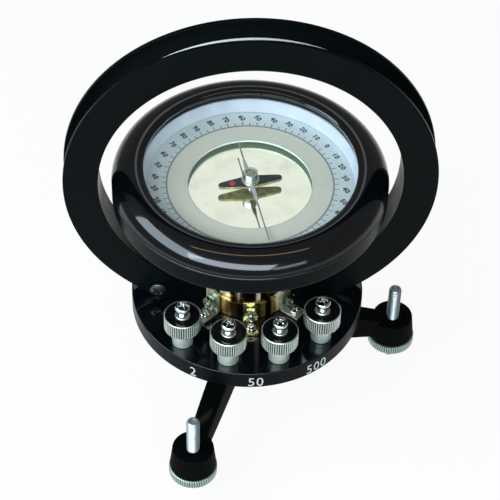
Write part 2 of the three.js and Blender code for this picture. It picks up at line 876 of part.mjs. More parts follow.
// A screw that stands in the turntable, with its nut below and the knob's stop for a head
function terminalScrew() {
  const screw = panScrew(
    terminalHeadRadius,
    terminalHeadHeight,
    terminalScrewRadius,
    terminalTailZ,
    terminalSeatZ,
  );
  return shaped(screw, [hexagon(terminalNutAcross, 0, terminalNutZ, terminalNutZ + terminalNutHeight)], []);
}

terminalNames.forEach((number, at) => {
  piece(`terminal_screw_${number}`, atTerminal(terminalScrew(), at), nickel);
});

// A solder lug: a ring with a tail towards the coil
function lug(at) {
  const half = lugTailWidth / 2;
  const tail = block(0, lugTailLength, -half, half, lugZ, lugZ + lugThickness);
  const ring = disc(lugRadius, lugZ, lugZ + lugThickness, smallSides);
  const hole = disc(terminalScrewRadius + seatGap, lugZ - cutOverrun, lugZ + cutOverrun, tinySides);
  return atTerminal(facing(shaped(ring, [tail], [hole]), terminalAngles[at] + 180), at);
}

function wire(points, radius, sides, steps) {
  const route = new THREE.CatmullRomCurve3(points, false, "centripetal");
  const section = new THREE.Path();
  section.absarc(0, 0, radius, 0, 2 * Math.PI, false);
  const outline = new THREE.Shape(section.getPoints(sides).slice(0, sides));
  return new THREE.ExtrudeGeometry(outline, { steps, extrudePath: route });
}

// Leads: laced together out of the winding, through the flange and the turntable, then one to each lug
function coilLeads() {
  const start = -coilHalfWidth + leadStartInset;
  const tapeZ = coilZ - layerRadius - trunkRadius - seatGap;
  const trunk = wire(
    [
      new THREE.Vector3(0, start, tapeZ),
      new THREE.Vector3(0, -coilHalfWidth + coilFlange + seatGap, leadHoleZ + trunkRadius / 2),
      new THREE.Vector3(0, -coilHalfWidth + seatGap, leadHoleZ),
      new THREE.Vector3(0, -trunkEnd, leadHoleZ),
    ],
    trunkRadius,
    trunkSides,
    trunkSteps,
  );
  const branches = terminalNames.map((number, at) => {
    const [x, y] = azimuth(terminalAngles[at], terminalCircle - lugTailLength + lugRadius / 2);
    const points = [
      new THREE.Vector3(0, -trunkEnd + trunkRadius, leadHoleZ),
      new THREE.Vector3(x * fanShare, (y - trunkEnd) / 2, leadHoleZ),
      new THREE.Vector3(x, y, lugZ),
    ];
    return wire(points, leadRadius, leadSides, leadSteps);
  });
  return shaped(trunk, [...branches, ...terminalNames.map((number, at) => lug(at))], []);
}

piece("coil_leads", coilLeads(), copper);

// Compass box

function boxBody() {
  const floorZ = coilZ - boxFloorDrop;
  const ledgeZ = coilZ - dialLedgeDrop;
  const bandZ = coilZ - boxBandDrop;
  const seamZ = coilZ - boxSeamDrop;
  return turned(
    [
      [0, boxFootZ],
      [boxFootRadius - boxEdge, boxFootZ],
      [boxFootRadius, boxFootZ + boxEdge],
      [boxFootRadius, bandZ],
      [boxRadius - boxEdge, bandZ],
      [boxRadius, bandZ + boxEdge],
      [boxRadius, seamZ],
      [boxSpigotRadius, seamZ],
      [boxSpigotRadius, boxRimZ],
      [boxBore, boxRimZ],
      [boxBore, ledgeZ],
      [mirrorRecessRadius, ledgeZ],
      [mirrorRecessRadius, floorZ],
      [0, floorZ],
    ],
    roundSides,
  );
}

piece("box_body", welded(boxBody()), lacquer);

// The bezel's section: a lip over the glass and a round shoulder down to the seam
function bezel() {
  const seamZ = coilZ - boxSeamDrop + seatGap;
  const lipZ = glassZ + glassThickness + seatGap;
  const crestZ = coilZ + bezelCrestRise;
  const [flat, high, wide, low] = bezelShoulderShares;
  const across = boxRadius - bezelCrestRadius;
  const fall = crestZ - seamZ;
  const shoulder = new THREE.CubicBezierCurve(
    new THREE.Vector2(bezelCrestRadius, crestZ),
    new THREE.Vector2(bezelCrestRadius + across * flat, seamZ + fall * high),
    new THREE.Vector2(bezelCrestRadius + across * wide, seamZ + fall * low),
    new THREE.Vector2(boxRadius, seamZ),
  ).getPoints(bezelSteps);
  const inward = new THREE.QuadraticBezierCurve(
    new THREE.Vector2(bezelOpening, lipZ + bezelLip),
    new THREE.Vector2(bezelOpening + bezelLip, crestZ),
    new THREE.Vector2(bezelCrestRadius, crestZ),
  ).getPoints(bezelLipSteps);
  const outline = [...inward.slice(0, -1), ...shoulder].map((point) => [point.x, point.y]);
  return turned([[bezelOpening, lipZ], ...outline, [bezelBore, seamZ], [bezelBore, lipZ]], roundSides);
}

piece("bezel", welded(bezel()), glossBlack);

const gasketZ = boxRimZ + seatGap;
piece(
  "glass_gasket",
  welded(washer(gasketBore, glassRadius, gasketZ, gasketZ + gasketThickness, roundSides)),
  rubber,
);
piece("glass", welded(disc(glassRadius, glassZ, glassZ + glassThickness, roundSides)), clearGlass);

const linerZ = dialTopZ + seatGap;
piece(
  "liner",
  welded(
    turned(
      [
        [linerFootRadius, linerZ],
        [dialRadius, linerZ],
        [dialRadius, linerZ + linerHeight],
        [linerTopRadius, linerZ + linerHeight],
      ],
      roundSides,
    ),
  ),
  whitePaint,
);
piece(
  "dial",
  welded(washer(dialHoleRadius, dialRadius, dialTopZ - dialThickness, dialTopZ, roundSides)),
  aluminium,
);
const mirrorRadius = mirrorRecessRadius - seatGap;
piece(
  "mirror",
  welded(washer(mirrorHoleRadius, mirrorRadius, mirrorTopZ - mirrorThickness, mirrorTopZ, roundSides)),
  mirrorFinish,
);

// Spindle below the box, with its washer and nut inside the pillar
const spindleNutZ = headTopZ - headFlangeThickness - headSpigotHeight - seatGap - spindleNutHeight;
piece(
  "box_spindle",
  welded(
    turned(
      [
        [0, spindleNutZ - spindleTail],
        [spindleRadius, spindleNutZ - spindleTail],
        [spindleRadius, spindleZ],
        [spindleFlangeRadius, spindleZ],
        [spindleFlangeRadius, spindleZ + spindleFlangeThickness],
        [0, spindleZ + spindleFlangeThickness],
      ],
      smallSides,
    ),
  ),
  brass,
);
piece(
  "spindle_nut",
  hexagon(spindleNutAcross, spindleRadius + seatGap, spindleNutZ, spindleNutZ + spindleNutHeight),
  brass,
);

// Needle: a magnet and a crossed pointer under a jewelled cap, on a hardened point

const magnetZ = mirrorTopZ + magnetRise - magnetThickness;
const pointerZ = magnetZ + magnetThickness + seatGap;
const capZ = pointerZ + pointerThickness + seatGap;
const capTopZ = capZ + capFlangeThickness + capHeight;
const jewelTopZ = capTopZ - seatGap;
const jewelZ = jewelTopZ - jewelThickness;
const pinTipZ = jewelZ + jewelCupDepth - seatGap;

// The magnet is a long lozenge with rounded ends
function magnet() {
  const tip = magnetTipWidth / 2;
  const half = magnetLength / 2 - tip;
  const outline = new THREE.Shape();
  outline.moveTo(0, -magnetWidth / 2);
  outline.absarc(half, 0, tip, -Math.PI / 2, Math.PI / 2, false);
  outline.lineTo(0, magnetWidth / 2);
  outline.absarc(-half, 0, tip, Math.PI / 2, 1.5 * Math.PI, false);
  outline.closePath();
  const points = outline.getPoints(tinySides / 2);
  const plate = extruded(new THREE.Shape(points), magnetZ, magnetZ + magnetThickness);
  const eye = disc(capStemRadius + seatGap, magnetZ - cutOverrun, capZ, smallSides);
  return shaped(plate, [], [eye]);
}

// The pointer crosses the magnet: wide at its eye, then drawn out thin, with the longer arm to -Y
function pointer() {
  const side = [
    [pointerTipWidth / 2, -pointerNearReach],
    [pointerNeckWidth / 2, -pointerFarReach * pointerNeckShare],
    [pointerWidth / 2, -pointerFarReach * pointerWideShare],
    [pointerWidth / 2, pointerFarReach * pointerWideShare],
    [pointerNeckWidth / 2, pointerFarReach * pointerNeckShare],
    [pointerTipWidth / 2, pointerFarReach],
  ];
  const outline = new THREE.Shape([
    ...side.map(([x, y]) => new THREE.Vector2(x, y)),
    ...side.reverse().map(([x, y]) => new THREE.Vector2(-x, y)),
  ]);
  const strip = extruded(outline, pointerZ, pointerZ + pointerThickness);
  const ring = disc(pointerEyeRadius, pointerZ, pointerZ + pointerThickness, smallSides);
  const eye = disc(capStemRadius + seatGap, pointerZ - cutOverrun, capZ, smallSides);
  return shaped(strip, [ring], [eye]);
}

function needleCap() {
  return turned(
    [
      [capHoleRadius, magnetZ],
      [capStemRadius, magnetZ],
      [capStemRadius, capZ],
      [capFlangeRadius, capZ],
      [capFlangeRadius, capZ + capFlangeThickness],
      [capRadius, capZ + capFlangeThickness],
      [capRadius, capTopZ - capEdge],
      [capRadius - capEdge, capTopZ],
      [jewelSeatRadius, capTopZ],
      [jewelSeatRadius, jewelZ - seatGap],
      [capHoleRadius, jewelZ - seatGap],
    ],
    smallSides,
  );
}

function turnedNeedle(geometry) {
  return geometry.rotateZ(radians(needleAngle));
}

piece("magnet", turnedNeedle(magnet()), magnetSteel);
piece("pointer", turnedNeedle(pointer()), aluminium);
piece("needle_cap", welded(turnedNeedle(needleCap())), nickel);
piece(
  "needle_jewel",
  welded(
    turned(
      [
        [0, jewelZ + jewelCupDepth],
        [jewelCupRadius, jewelZ],
        [jewelRadius, jewelZ],
        [jewelRadius, jewelTopZ],
        [0, jewelTopZ],
      ],
      tinySides,
    ),
  ),
  agate,
);
const pinFootZ = coilZ - boxFloorDrop + seatGap;
piece(
  "needle_pin",
  welded(
    turned(
      [
        [0, pinFootZ],
        [pinBaseRadius, pinFootZ],
        [pinBaseRadius, pinFootZ + pinBaseHeight],
        [pinRadius, pinFootZ + pinBaseHeight],
        [pinRadius, pinTipZ - pinTaper],
        [pinTipRadius, pinTipZ],
        [0, pinTipZ],
      ],
      tinySides,
    ),
  ),
  steel,
);

export default model;
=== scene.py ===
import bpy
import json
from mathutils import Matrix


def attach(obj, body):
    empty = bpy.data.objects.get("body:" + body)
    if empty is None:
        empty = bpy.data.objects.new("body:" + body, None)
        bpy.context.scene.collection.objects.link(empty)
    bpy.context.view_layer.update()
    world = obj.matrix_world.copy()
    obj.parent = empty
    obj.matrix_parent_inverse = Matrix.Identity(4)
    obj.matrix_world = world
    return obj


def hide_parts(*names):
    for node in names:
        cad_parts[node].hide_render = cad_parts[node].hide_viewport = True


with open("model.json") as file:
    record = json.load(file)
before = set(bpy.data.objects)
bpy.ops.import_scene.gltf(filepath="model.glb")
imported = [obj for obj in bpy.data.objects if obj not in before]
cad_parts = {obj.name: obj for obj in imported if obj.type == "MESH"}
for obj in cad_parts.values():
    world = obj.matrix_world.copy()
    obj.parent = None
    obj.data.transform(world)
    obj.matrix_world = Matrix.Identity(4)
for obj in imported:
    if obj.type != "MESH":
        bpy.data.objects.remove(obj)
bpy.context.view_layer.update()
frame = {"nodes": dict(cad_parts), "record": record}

import json
import math
import bpy
import bmesh
import numpy as np
from mathutils import Matrix, Vector

# Tangent galvanometer. Lengths below are millimetres in the part's own frame: the origin is under the tripod's
# hub, +Z up, X along the coil's plane and -Y to the front. An outline is a list of radius and height.
mm = 0.001
tau = 2 * math.pi
coilZ = 121.0                    # height of the coil's centre
discTop = 40.6                   # height of the turntable's top
seated = discTop + 0.3           # foot of what is fixed on the turntable
ringSteps = 320                  # points round the coil and the compass box
sharpFrom = 35                   # degrees between two faces from which their edge is sharp
scene = bpy.context.scene


# Making meshes

# nearer than this is one place: metres for points and edges, millimetres for letters
merge = {"points": 2e-7, "edges": 1e-8, "letters": 1e-4}


def take(values, names):
    # some values of a dictionary, in the order of their names
    return [values[name] for name in names.split()]


def toMesh(name, points, faces, sharpAngle=sharpFrom, groove=None):
    # doubles merged at seams and poles, faces turned outwards, smooth but for edges over the sharp angle;
    # groove is how far each point lies below a milled surface, kept for the finish
    mesh = bpy.data.meshes.new(name)
    mesh.from_pydata((np.asarray(points, float) * mm).tolist(), [], [list(face) for face in faces])
    if groove is not None:
        mesh.attributes.new("groove", "FLOAT", "POINT").data.foreach_set("value", groove.ravel())
    work = bmesh.new()
    work.from_mesh(mesh)
    bmesh.ops.remove_doubles(work, verts=work.verts, dist=merge["points"])
    bmesh.ops.dissolve_degenerate(work, edges=work.edges, dist=merge["edges"])
    bmesh.ops.recalc_face_normals(work, faces=work.faces)
    work.to_mesh(mesh)
    work.free()
    mesh.shade_smooth()
    mesh.set_sharp_from_angle(angle=math.radians(sharpAngle))
    return mesh


def gridFaces(rows, columns, wrapRows):
    # quads between neighbouring rows and columns of a grid; the columns always close on themselves
    a = np.arange(rows if wrapRows else rows - 1)[:, None]
    b = np.arange(columns)[None, :]
    a2, b2 = (a + 1) % rows, (b + 1) % columns
    quads = np.stack([a * columns + b, a * columns + b2, a2 * columns + b2, a2 * columns + b], -1)
    return quads.reshape(-1, 4).tolist()


def gridMesh(name, grid, wrapRows=False, sharpAngle=sharpFrom, caps=False, groove=None):
    # a grid of points as a surface, its first and last row filled where it has caps
    rows, columns = grid.shape[:2]
    faces = gridFaces(rows, columns, wrapRows)
    if caps:
        faces += [list(range(columns)), list(range((rows - 1) * columns, rows * columns))]
    return toMesh(name, grid.reshape(-1, 3), faces, sharpAngle, groove)


def joinMeshes(name, meshes):
    work = bmesh.new()
    for mesh in meshes:
        work.from_mesh(mesh)
        bpy.data.meshes.remove(mesh)
    mesh = bpy.data.meshes.new(name)
    work.to_mesh(mesh)
    work.free()
    return mesh


def moved(mesh, matrix):
    mesh.transform(matrix)
    return mesh


def shift(x, y, z):
    return Matrix.Translation((x * mm, y * mm, z * mm))


def spin(angle, axis="Z"):
    return Matrix.Rotation(angle, 4, axis)


def azimuth(angle, radius):
    # a place on the base: angle from -Y towards +X
    return radius * math.sin(math.radians(angle)), -radius * math.cos(math.radians(angle))


def facing(angle):
    # turns what is drawn along +X so that it points along an azimuth
    return spin(math.radians(angle - 90))


def softened(corners, radius, steps=3, closed=True):
    # each corner of an outline becomes a small arc: a quadratic curve between points a radius away on both
    # sides; one more point beyond each end of the arc keeps the shading of the straight parts flat
    mostShare, support, straight = 0.3, 1.4, -0.999
    corners = np.asarray(corners, float)
    count = len(corners)
    out = []
    for at, corner in enumerate(corners):
        before, after = corners[at - 1] - corner, corners[(at + 1) % count] - corner
        lengthBefore, lengthAfter = np.linalg.norm(before), np.linalg.norm(after)
        before, after = before / lengthBefore, after / lengthAfter
        if not closed and at in (0, count - 1) or before @ after < straight:
            out.append(corner)
            continue
        reach = min(radius, mostShare * lengthBefore, mostShare * lengthAfter)
        first, last = corner + before * reach, corner + after * reach
        out.append(corner + before * reach * support)
        for t in np.linspace(0, 1, steps + 1):
            out.append((1 - t) ** 2 * first + 2 * t * (1 - t) * corner + t * t * last)
        out.append(corner + after * reach * support)
    return np.array(out)


def turned(name, outline, segments, closed=True, soft=0.0, axis="Z", wave=None, sharpAngle=sharpFrom):
    # a surface of revolution: the outline's radius and height at angles round the axis
    outline = softened(outline, soft, closed=closed) if soft else np.asarray(outline, float)
    angle = np.linspace(0, tau, segments, endpoint=False)
    radius = outline[:, :1] + np.zeros_like(angle)[None, :]
    height = outline[:, 1:2] + np.zeros_like(angle)[None, :]
    groove = None
    if wave is not None:
        milled = wave(radius, height, angle[None, :])
        radius, groove = milled, radius - milled
    if axis == "Z":
        grid = np.stack([radius * np.cos(angle), radius * np.sin(angle), height], -1)
    else:
        grid = np.stack([radius * np.cos(angle), height, coilZ + radius * np.sin(angle)], -1)
    return gridMesh(name, grid, wrapRows=closed, sharpAngle=sharpAngle, groove=groove)


def ringOutline(section):
    # a ring's section is its inside and outside radius, its foot and its top
    inside, outside, low, high = section
    return [(inside, low), (outside, low), (outside, high), (inside, high)]


def ring(name, section, segments, soft=0.0, axis="Z"):
    # a turned ring, or a disc where its inside is 0
    return turned(name, ringOutline(section), segments, closed=section[0] > 0, soft=soft, axis=axis)


def prism(name, outline, low, high):
    # a flat outline carried straight up
    outline = np.asarray(outline, float)
    grid = np.stack([np.column_stack([outline, np.full(len(outline), z)]) for z in (low, high)])
    return gridMesh(name, grid, caps=True)


def arc(radius, start, end, steps):
    # points on a circle, from one angle to another in degrees
    angle = np.radians(np.linspace(start, end, steps))
    return np.column_stack([radius * np.cos(angle), radius * np.sin(angle)])


def bezier(points, t):
    # neighbouring points are blended by t, round after round, until one is left
    points = [np.asarray(point, float) for point in points]
    while len(points) > 1:
        points = [(1 - t) * first + t * second for first, second in zip(points, points[1:])]
    return points[0]


def cutAway(mesh, cutters):
    # the mesh less its cutters
    target = bpy.data.objects.new("cutTarget", mesh)
    scene.collection.objects.link(target)
    helpers = []
    for cutter in cutters:
        helper = bpy.data.objects.new("cutHelper", cutter)
        scene.collection.objects.link(helper)
        helpers.append(helper)
        step = target.modifiers.new("cut", "BOOLEAN")
        step.operation, step.solver, step.object = "DIFFERENCE", "EXACT", helper
    bpy.context.view_layer.update()
    made = bpy.data.meshes.new_from_object(target.evaluated_get(bpy.context.evaluated_depsgraph_get()))
    made.name = mesh.name
    for thing in [target] + helpers:
        bpy.data.objects.remove(thing)
    made.shade_smooth()
    made.set_sharp_from_angle(angle=math.radians(sharpFrom))
    return made


# Shader maths

class Field:                     # the value that a node gives, and the sums that can be done with it
    def __init__(self, graph, socket):
        self.graph, self.socket = graph, socket

    def math(self, operation, other=0.0, swap=False):
        pair = (other, self) if swap else (self, other)
        return self.graph.node("ShaderNodeMath", {"operation": operation}, dict(enumerate(pair)))

    def __add__(self, other):
        return self.math("ADD", other)

    def __sub__(self, other):
        return self.math("SUBTRACT", other)

    def __rsub__(self, other):
        return self.math("SUBTRACT", other, True)

    def __mul__(self, other):
        return self.math("MULTIPLY", other)

    def __pow__(self, other):
        return self.math("POWER", other)

    def __mod__(self, other):
        return self.math("FLOORED_MODULO", other)

    def __gt__(self, other):
        return self.math("GREATER_THAN", other)

    def __lt__(self, other):
        return self.math("LESS_THAN", other)

    def __abs__(self):
        return self.math("ABSOLUTE")

    def sine(self):
        return self.math("SINE")

    def most(self, other):
        return self.math("MAXIMUM", other)

    __radd__, __rmul__ = __add__, __mul__


class Graph:                     # a node tree and the shader that it feeds
    def __init__(self, tree, shader):
        self.tree, self.shader = tree, tree.nodes[shader]

    def node(self, kind, settings, inputs, output=0):
        made = self.tree.nodes.new(kind)
        for key, value in settings.items():
            setattr(made, key, value)
        for key, value in inputs.items():
            if isinstance(value, Field):
                self.tree.links.new(value.socket, made.inputs[key])
            else:
                made.inputs[key].default_value = value
        return Field(self, made.outputs[output])

    def feed(self, socket, field):
        self.tree.links.new(field.socket, self.shader.inputs[socket])

    def rays(self):
        # each is 1 for its own kind of ray: camera, glossy and transmission
        return [self.node("ShaderNodeLightPath", {}, {}, "Is " + ray + " Ray")
                for ray in ("Camera", "Glossy", "Transmission")]


class Finish(Graph):             # one material with a Principled shader
    def __init__(self, name, color, roughness, metallic=0.0, **sockets):
        self.material = bpy.data.materials.new(name)
        self.material.use_nodes = True
        super().__init__(self.material.node_tree, "Principled BSDF")
        self.shader.inputs["Base Color"].default_value = (*color, 1)
        self.shader.inputs["Roughness"].default_value = roughness
        self.shader.inputs["Metallic"].default_value = metallic
        for key, value in sockets.items():
            self.shader.inputs[key.replace("_", " ")].default_value = value
        self.place = self.node("ShaderNodeTexCoord", {}, {}, "Object")
        self.x, self.y, self.z = (self.node("ShaderNodeSeparateXYZ", {}, {0: self.place}, axis)
                                  for axis in "XYZ")

    def fromAxis(self):
        # distance from the upright axis, in metres
        return (self.x * self.x + self.y * self.y) ** 0.5

    def angleOf(self, up, along):
        return self.node("ShaderNodeMath", {"operation": "ARCTAN2"}, {0: up, 1: along})

    def noise(self, size, detail=3.0, roughness=0.5):
        # cloudy pattern from 0 to 1, with blots of about size millimetres
        return self.node("ShaderNodeTexNoise", {}, {
            "Vector": self.place, "Scale": 1 / (size * mm), "Detail": detail, "Roughness": roughness})

    def between(self, value, low, high, start=0.0, end=1.0):
        # from start to end as the value goes from low to high, eased at both ends
        return self.node("ShaderNodeMapRange", {"interpolation_type": "SMOOTHSTEP"}, {
            "Value": value, "From Min": low, "From Max": high, "To Min": start, "To Max": end})

    def blend(self, mask, first, second):
        pair = {6: first if isinstance(first, Field) else (*first, 1),
                7: second if isinstance(second, Field) else (*second, 1)}
        return self.node("ShaderNodeMix", {"data_type": "RGBA"}, {0: mask, **pair}, 2)

    def bump(self, height, distance):
        # height from 0 to 1 raised by distance millimetres
        self.feed("Normal", self.node("ShaderNodeBump", {}, {
            "Height": height, "Distance": distance * mm, "Strength": 1.0}, "Normal"))

    def paint(self, color, smooth, rough):
        # a coat of paint: cloudy sheen and sparse pale dust
        self.feed("Roughness", self.between(self.noise(14, 4), 0.3, 0.7, smooth, rough))
        dust = self.between(self.noise(0.6, 2), 0.72, 0.80)
        self.feed("Base Color", self.blend(dust * 0.3, color, tuple(3 * c + 0.01 for c in color)))


def enamelFinish(name, color, shine, mirrored):
    # stoved paint with a faint orange peel
    finish = Finish(name, color, shine, Specular_IOR_Level=mirrored)
    finish.paint(color, shine * 0.8, shine * 1.25)
    finish.bump(finish.noise(1.6, 2), 0.006)
    return finish.material


def glossFinish(name, color, satinBelow, glossAbove, mirrored):
    # black lacquer, satin on its sides and buffed to a deep gloss above a height in millimetres
    finish = Finish(name, color, 0.28, Specular_IOR_Level=mirrored, Coat_Roughness=0.07, Coat_IOR=1.55)
    finish.paint(color, 0.24, 0.36)
    finish.feed("Coat Weight", finish.between(finish.z, satinBelow * mm, glossAbove * mm, 0.0, 1.0))
    finish.bump(finish.noise(1.8, 2), 0.003)
    return finish.material


def metalFinish(name, color, dull, shine, patch=6.0, dirtAndShade=0.35, grain=0.004, rougher=0.12, plate=1.0):
    # metal with duller patches of handling and a faint grain; below 1, plate leaves a part of it powdery
    finish = Finish(name, color, shine, plate)
    cloud = finish.between(finish.noise(patch, 2), 0.46, 0.70)
    finish.feed("Base Color", finish.blend(cloud * dirtAndShade, color, dull))
    finish.feed("Roughness", finish.between(cloud, 0, 1, shine, shine + rougher))
    finish.bump(finish.noise(1.5, 2), grain)
    return finish.material


def gripFinish(name, color, shine, dullBelow, plate):
    # nickel plate: plain on the milled rim, with painted shade darkening its grooves, and worn to a dull grey
    # on what lies below a height in millimetres
    dulled, unshadedTo, shadedFrom = 0.4, 0.08, 0.40
    finish = Finish(name, color, shine, plate)
    cloud = finish.between(finish.noise(5, 3), 0.35, 0.7)
    worn = finish.z < dullBelow * mm
    groove = finish.node("ShaderNodeAttribute", {"attribute_name": "groove"}, {}, "Fac")
    # painted shade: the deeper a point lies in a milled groove, the darker its colour is painted, nearly to
    # black
    dirtAndShade = finish.between(groove, unshadedTo, shadedFrom)
    clean = finish.blend(cloud * 0.25, color, tuple(c * 0.7 for c in color))
    finish.feed("Base Color", finish.blend(dirtAndShade * 0.9, clean, tuple(c * 0.08 for c in color)))
    finish.feed("Metallic", plate - worn * plate * dulled)
    finish.feed("Roughness", finish.between(cloud, 0, 1, shine, shine + 0.1) + worn * 0.1)
    return finish.material


def streakPaintedFinish(name, color, reflectedDark, paintedGlint, shine, streaks):
    # drawn tube with painted reflections: upright streaks, a noise of the angle round the axis that hardly
    # changes with height, a dark painted reflection where it is low and a pale painted highlight, less
    # metallic, where it is high
    finish = Finish(name, color, shine, 0.9)
    angle = finish.angleOf(finish.y, finish.x)
    place = finish.node("ShaderNodeCombineXYZ", {}, {0: angle * streaks, 1: finish.z * 4, 2: 0.0})
    streak = finish.node("ShaderNodeTexNoise", {}, {
        "Vector": place, "Scale": 1.0, "Detail": 1.5, "Roughness": 0.5})
    # painted reflections: the dark and pale streaks stand in for dark and bright surroundings mirrored in the
    # tube
    tone = finish.blend(finish.between(streak, 0.46, 0.54), reflectedDark, color)
    finish.feed("Base Color", finish.blend(finish.between(streak, 0.54, 0.60), tone, paintedGlint))
    finish.feed("Metallic", 0.95 - finish.between(streak, 0.50, 0.62) * 0.5)
    finish.feed("Roughness", finish.between(finish.noise(6, 4), 0.3, 0.7, shine, shine + 0.12))
    return finish.material


def castFinish():
    # thick enamel over a sand casting: a low wavy grain, thinner and browner in worn blots
    base, rubbed = (0.0014, 0.0020, 0.0018), (0.012, 0.010, 0.008)
    finish = Finish("castEnamel", base, 0.35, Specular_IOR_Level=0.0, Coat_Weight=0.07, Coat_Roughness=0.06)
    grain = finish.noise(1.4, 3, 0.55)
    finish.feed("Roughness", finish.between(grain, 0.3, 0.7, 0.28, 0.42))
    worn = finish.between(finish.noise(4, 5, 0.7), 0.60, 0.78)
    finish.feed("Base Color", finish.blend(worn * 0.4, base, rubbed))
    finish.bump(grain, 0.012)
    return finish.material


def tapeFinish():
    # plain weave cotton: sine ridges of the angle round the coil times sine ridges across the tape
    thread, radius = 0.45, 80
    clean, stained = (0.80, 0.82, 0.79), (0.60, 0.60, 0.55)
    finish = Finish("cottonTape", clean, 0.9, Sheen_Weight=0.3)
    angle = finish.angleOf(finish.x, finish.z - coilZ * mm)
    along = (angle * (radius / thread * math.pi)).sine()
    across = (finish.y * (math.pi / (thread * mm))).sine()
    stain = finish.between(finish.noise(9, 4), 0.5, 0.75)
    finish.feed("Base Color", finish.blend(stain * 0.35, clean, stained))
    finish.bump(along * across * 0.5 + 0.5, 0.12)
    return finish.material


# radii and widths in millimetres, zero mark in degrees from +X, colours
dial = {"circle": 40.4, "circleLine": 0.5, "short": 41.1, "middle": 42.8, "long": 43.4, "width": 0.40,
        "zero": 33.4, "edge": 30.75, "wall": 30.26, "inner": (0.66, 0.68, 0.56), "outer": (0.60, 0.71, 0.71),
        "cloudy": (0.60, 0.65, 0.58), "ink": (0.03, 0.045, 0.04), "bright": (0.75, 0.80, 0.76),
        "wallColor": (0.80, 0.98, 0.84)}


def dialFinish():
    # brushed aluminium plate with printed degree lines: a line every degree, longer every fifth and tenth; the
    # ground outside the printed circle is bluer, the hole's edge has a painted highlight and its wall a
    # painted light, a near-white green
    finish = Finish("dialPlate", dial["inner"], 0.42, 0.3)
    radius = finish.fromAxis() * (1 / mm)
    angle = finish.angleOf(finish.y, finish.x) * (360 / tau) - dial["zero"]

    def lines(step, reach):
        # where the arc to the nearest multiple of the step is under half a line's width
        offset = abs((angle + step / 2) % step - step / 2) * (tau / 360)
        return (offset * radius < dial["width"] / 2) * (radius > dial["circle"]) * (radius < reach)

    marks = lines(1, dial["short"]).most(lines(5, dial["middle"])).most(lines(10, dial["long"]))
    ink = marks.most((abs(radius - dial["circle"]) < dial["circleLine"] / 2) * 0.7)
    grain = finish.noise(0.4, 4, 0.7)
    cloud = finish.between(finish.noise(16, 4), 0.35, 0.7)
    plate = finish.blend(radius > dial["circle"], dial["inner"], dial["outer"])
    plate = finish.blend(cloud * 0.3, plate, dial["cloudy"])
    plate = finish.blend(ink * 0.95, plate, dial["ink"])
    # painted highlight: a pale band on the hole's edge stands in for the glint on its rim
    plate = finish.blend(radius < dial["edge"], plate, dial["bright"])
    # painted light: the wall's near-white green brightens a wall which the lamps light only weakly
    finish.feed("Base Color", finish.blend(radius < dial["wall"], plate, dial["wallColor"]))
    finish.feed("Metallic", (0.3 - ink * 0.3 + (radius < dial["edge"]) * 0.4) * (radius > dial["wall"]))
    finish.feed("Roughness", finish.between(grain, 0.2, 0.8, 0.36, 0.5))
    finish.bump(grain, 0.008)
    return finish.material


def mirrorFinish():
    # silvered glass, a little cloudy, with a faint warm tone
    clear, hazed = (0.80, 0.85, 0.73), (0.74, 0.78, 0.66)
    finish = Finish("dialMirror", clear, 0.05, 1.0)
    cloud = finish.noise(11, 4)
    finish.feed("Roughness", finish.between(cloud, 0.3, 0.75, 0.03, 0.10))
    finish.feed("Base Color", finish.blend(finish.between(cloud, 0.4, 0.8), clear, hazed))
    return finish.material


def glassFinish():
    # almost clear, with a faint smear
    finish = Finish("clearGlass", (0.30, 0.36, 0.38), 0.02, Specular_IOR_Level=0.5)
    smear = finish.between(finish.noise(20, 4), 0.4, 0.8)
    finish.feed("Alpha", smear * 0.02 + 0.04)
    return finish.material


def linerFinish():
    # pale matt paint, brushed on
    thin, thick = (0.60, 0.68, 0.76), (0.67, 0.75, 0.81)
    finish = Finish("linerPaint", thin, 0.6)
    finish.feed("Base Color", finish.blend(finish.between(finish.noise(7, 4), 0.35, 0.7), thin, thick))
    finish.bump(finish.noise(0.8, 3), 0.02)
    return finish.material


def plainFinish(name, color, roughness, metallic=0.0, change=0.35):
    # a colour that clouds between two nearby tones
    finish = Finish(name, color, roughness, metallic)
    cloud = finish.between(finish.noise(4, 4), 0.3, 0.7)
    low, high = (tuple(c * (1 + change * sign) for c in color) for sign in (-1, 1))
    finish.feed("Base Color", finish.blend(cloud, low, high))
    finish.feed("Roughness", finish.between(cloud, 0, 1, roughness * 0.8, min(1, roughness * 1.2)))
    finish.bump(finish.noise(0.5, 3), 0.02)
    return finish.material


def needleFinish(name, upper, outer, lower, lowerOuter, level, bend, roughness, metallic):
    # top and underside, parted at a level in millimetres, each in one tone near the middle and another beyond
    # a radius: the underside is in warm olive and gold tones
    finish = Finish(name, upper, roughness, metallic, Specular_IOR_Level=0.2)
    cloud = finish.between(finish.noise(3, 4), 0.35, 0.65)
    far = finish.fromAxis() > bend * mm
    top = finish.blend(far, finish.blend(cloud * 0.4, upper, tuple(c * 0.6 for c in upper)), outer)
    under = finish.blend(far, finish.blend(cloud * 0.8, lower, tuple(c * 0.35 for c in lower)), lowerOuter)
    finish.feed("Base Color", finish.blend(finish.z < level * mm, top, under))
    finish.feed("Roughness", finish.between(cloud, 0, 1, roughness * 0.8, roughness * 1.2))
    finish.bump(finish.noise(0.5, 3), 0.004)
    return finish.material


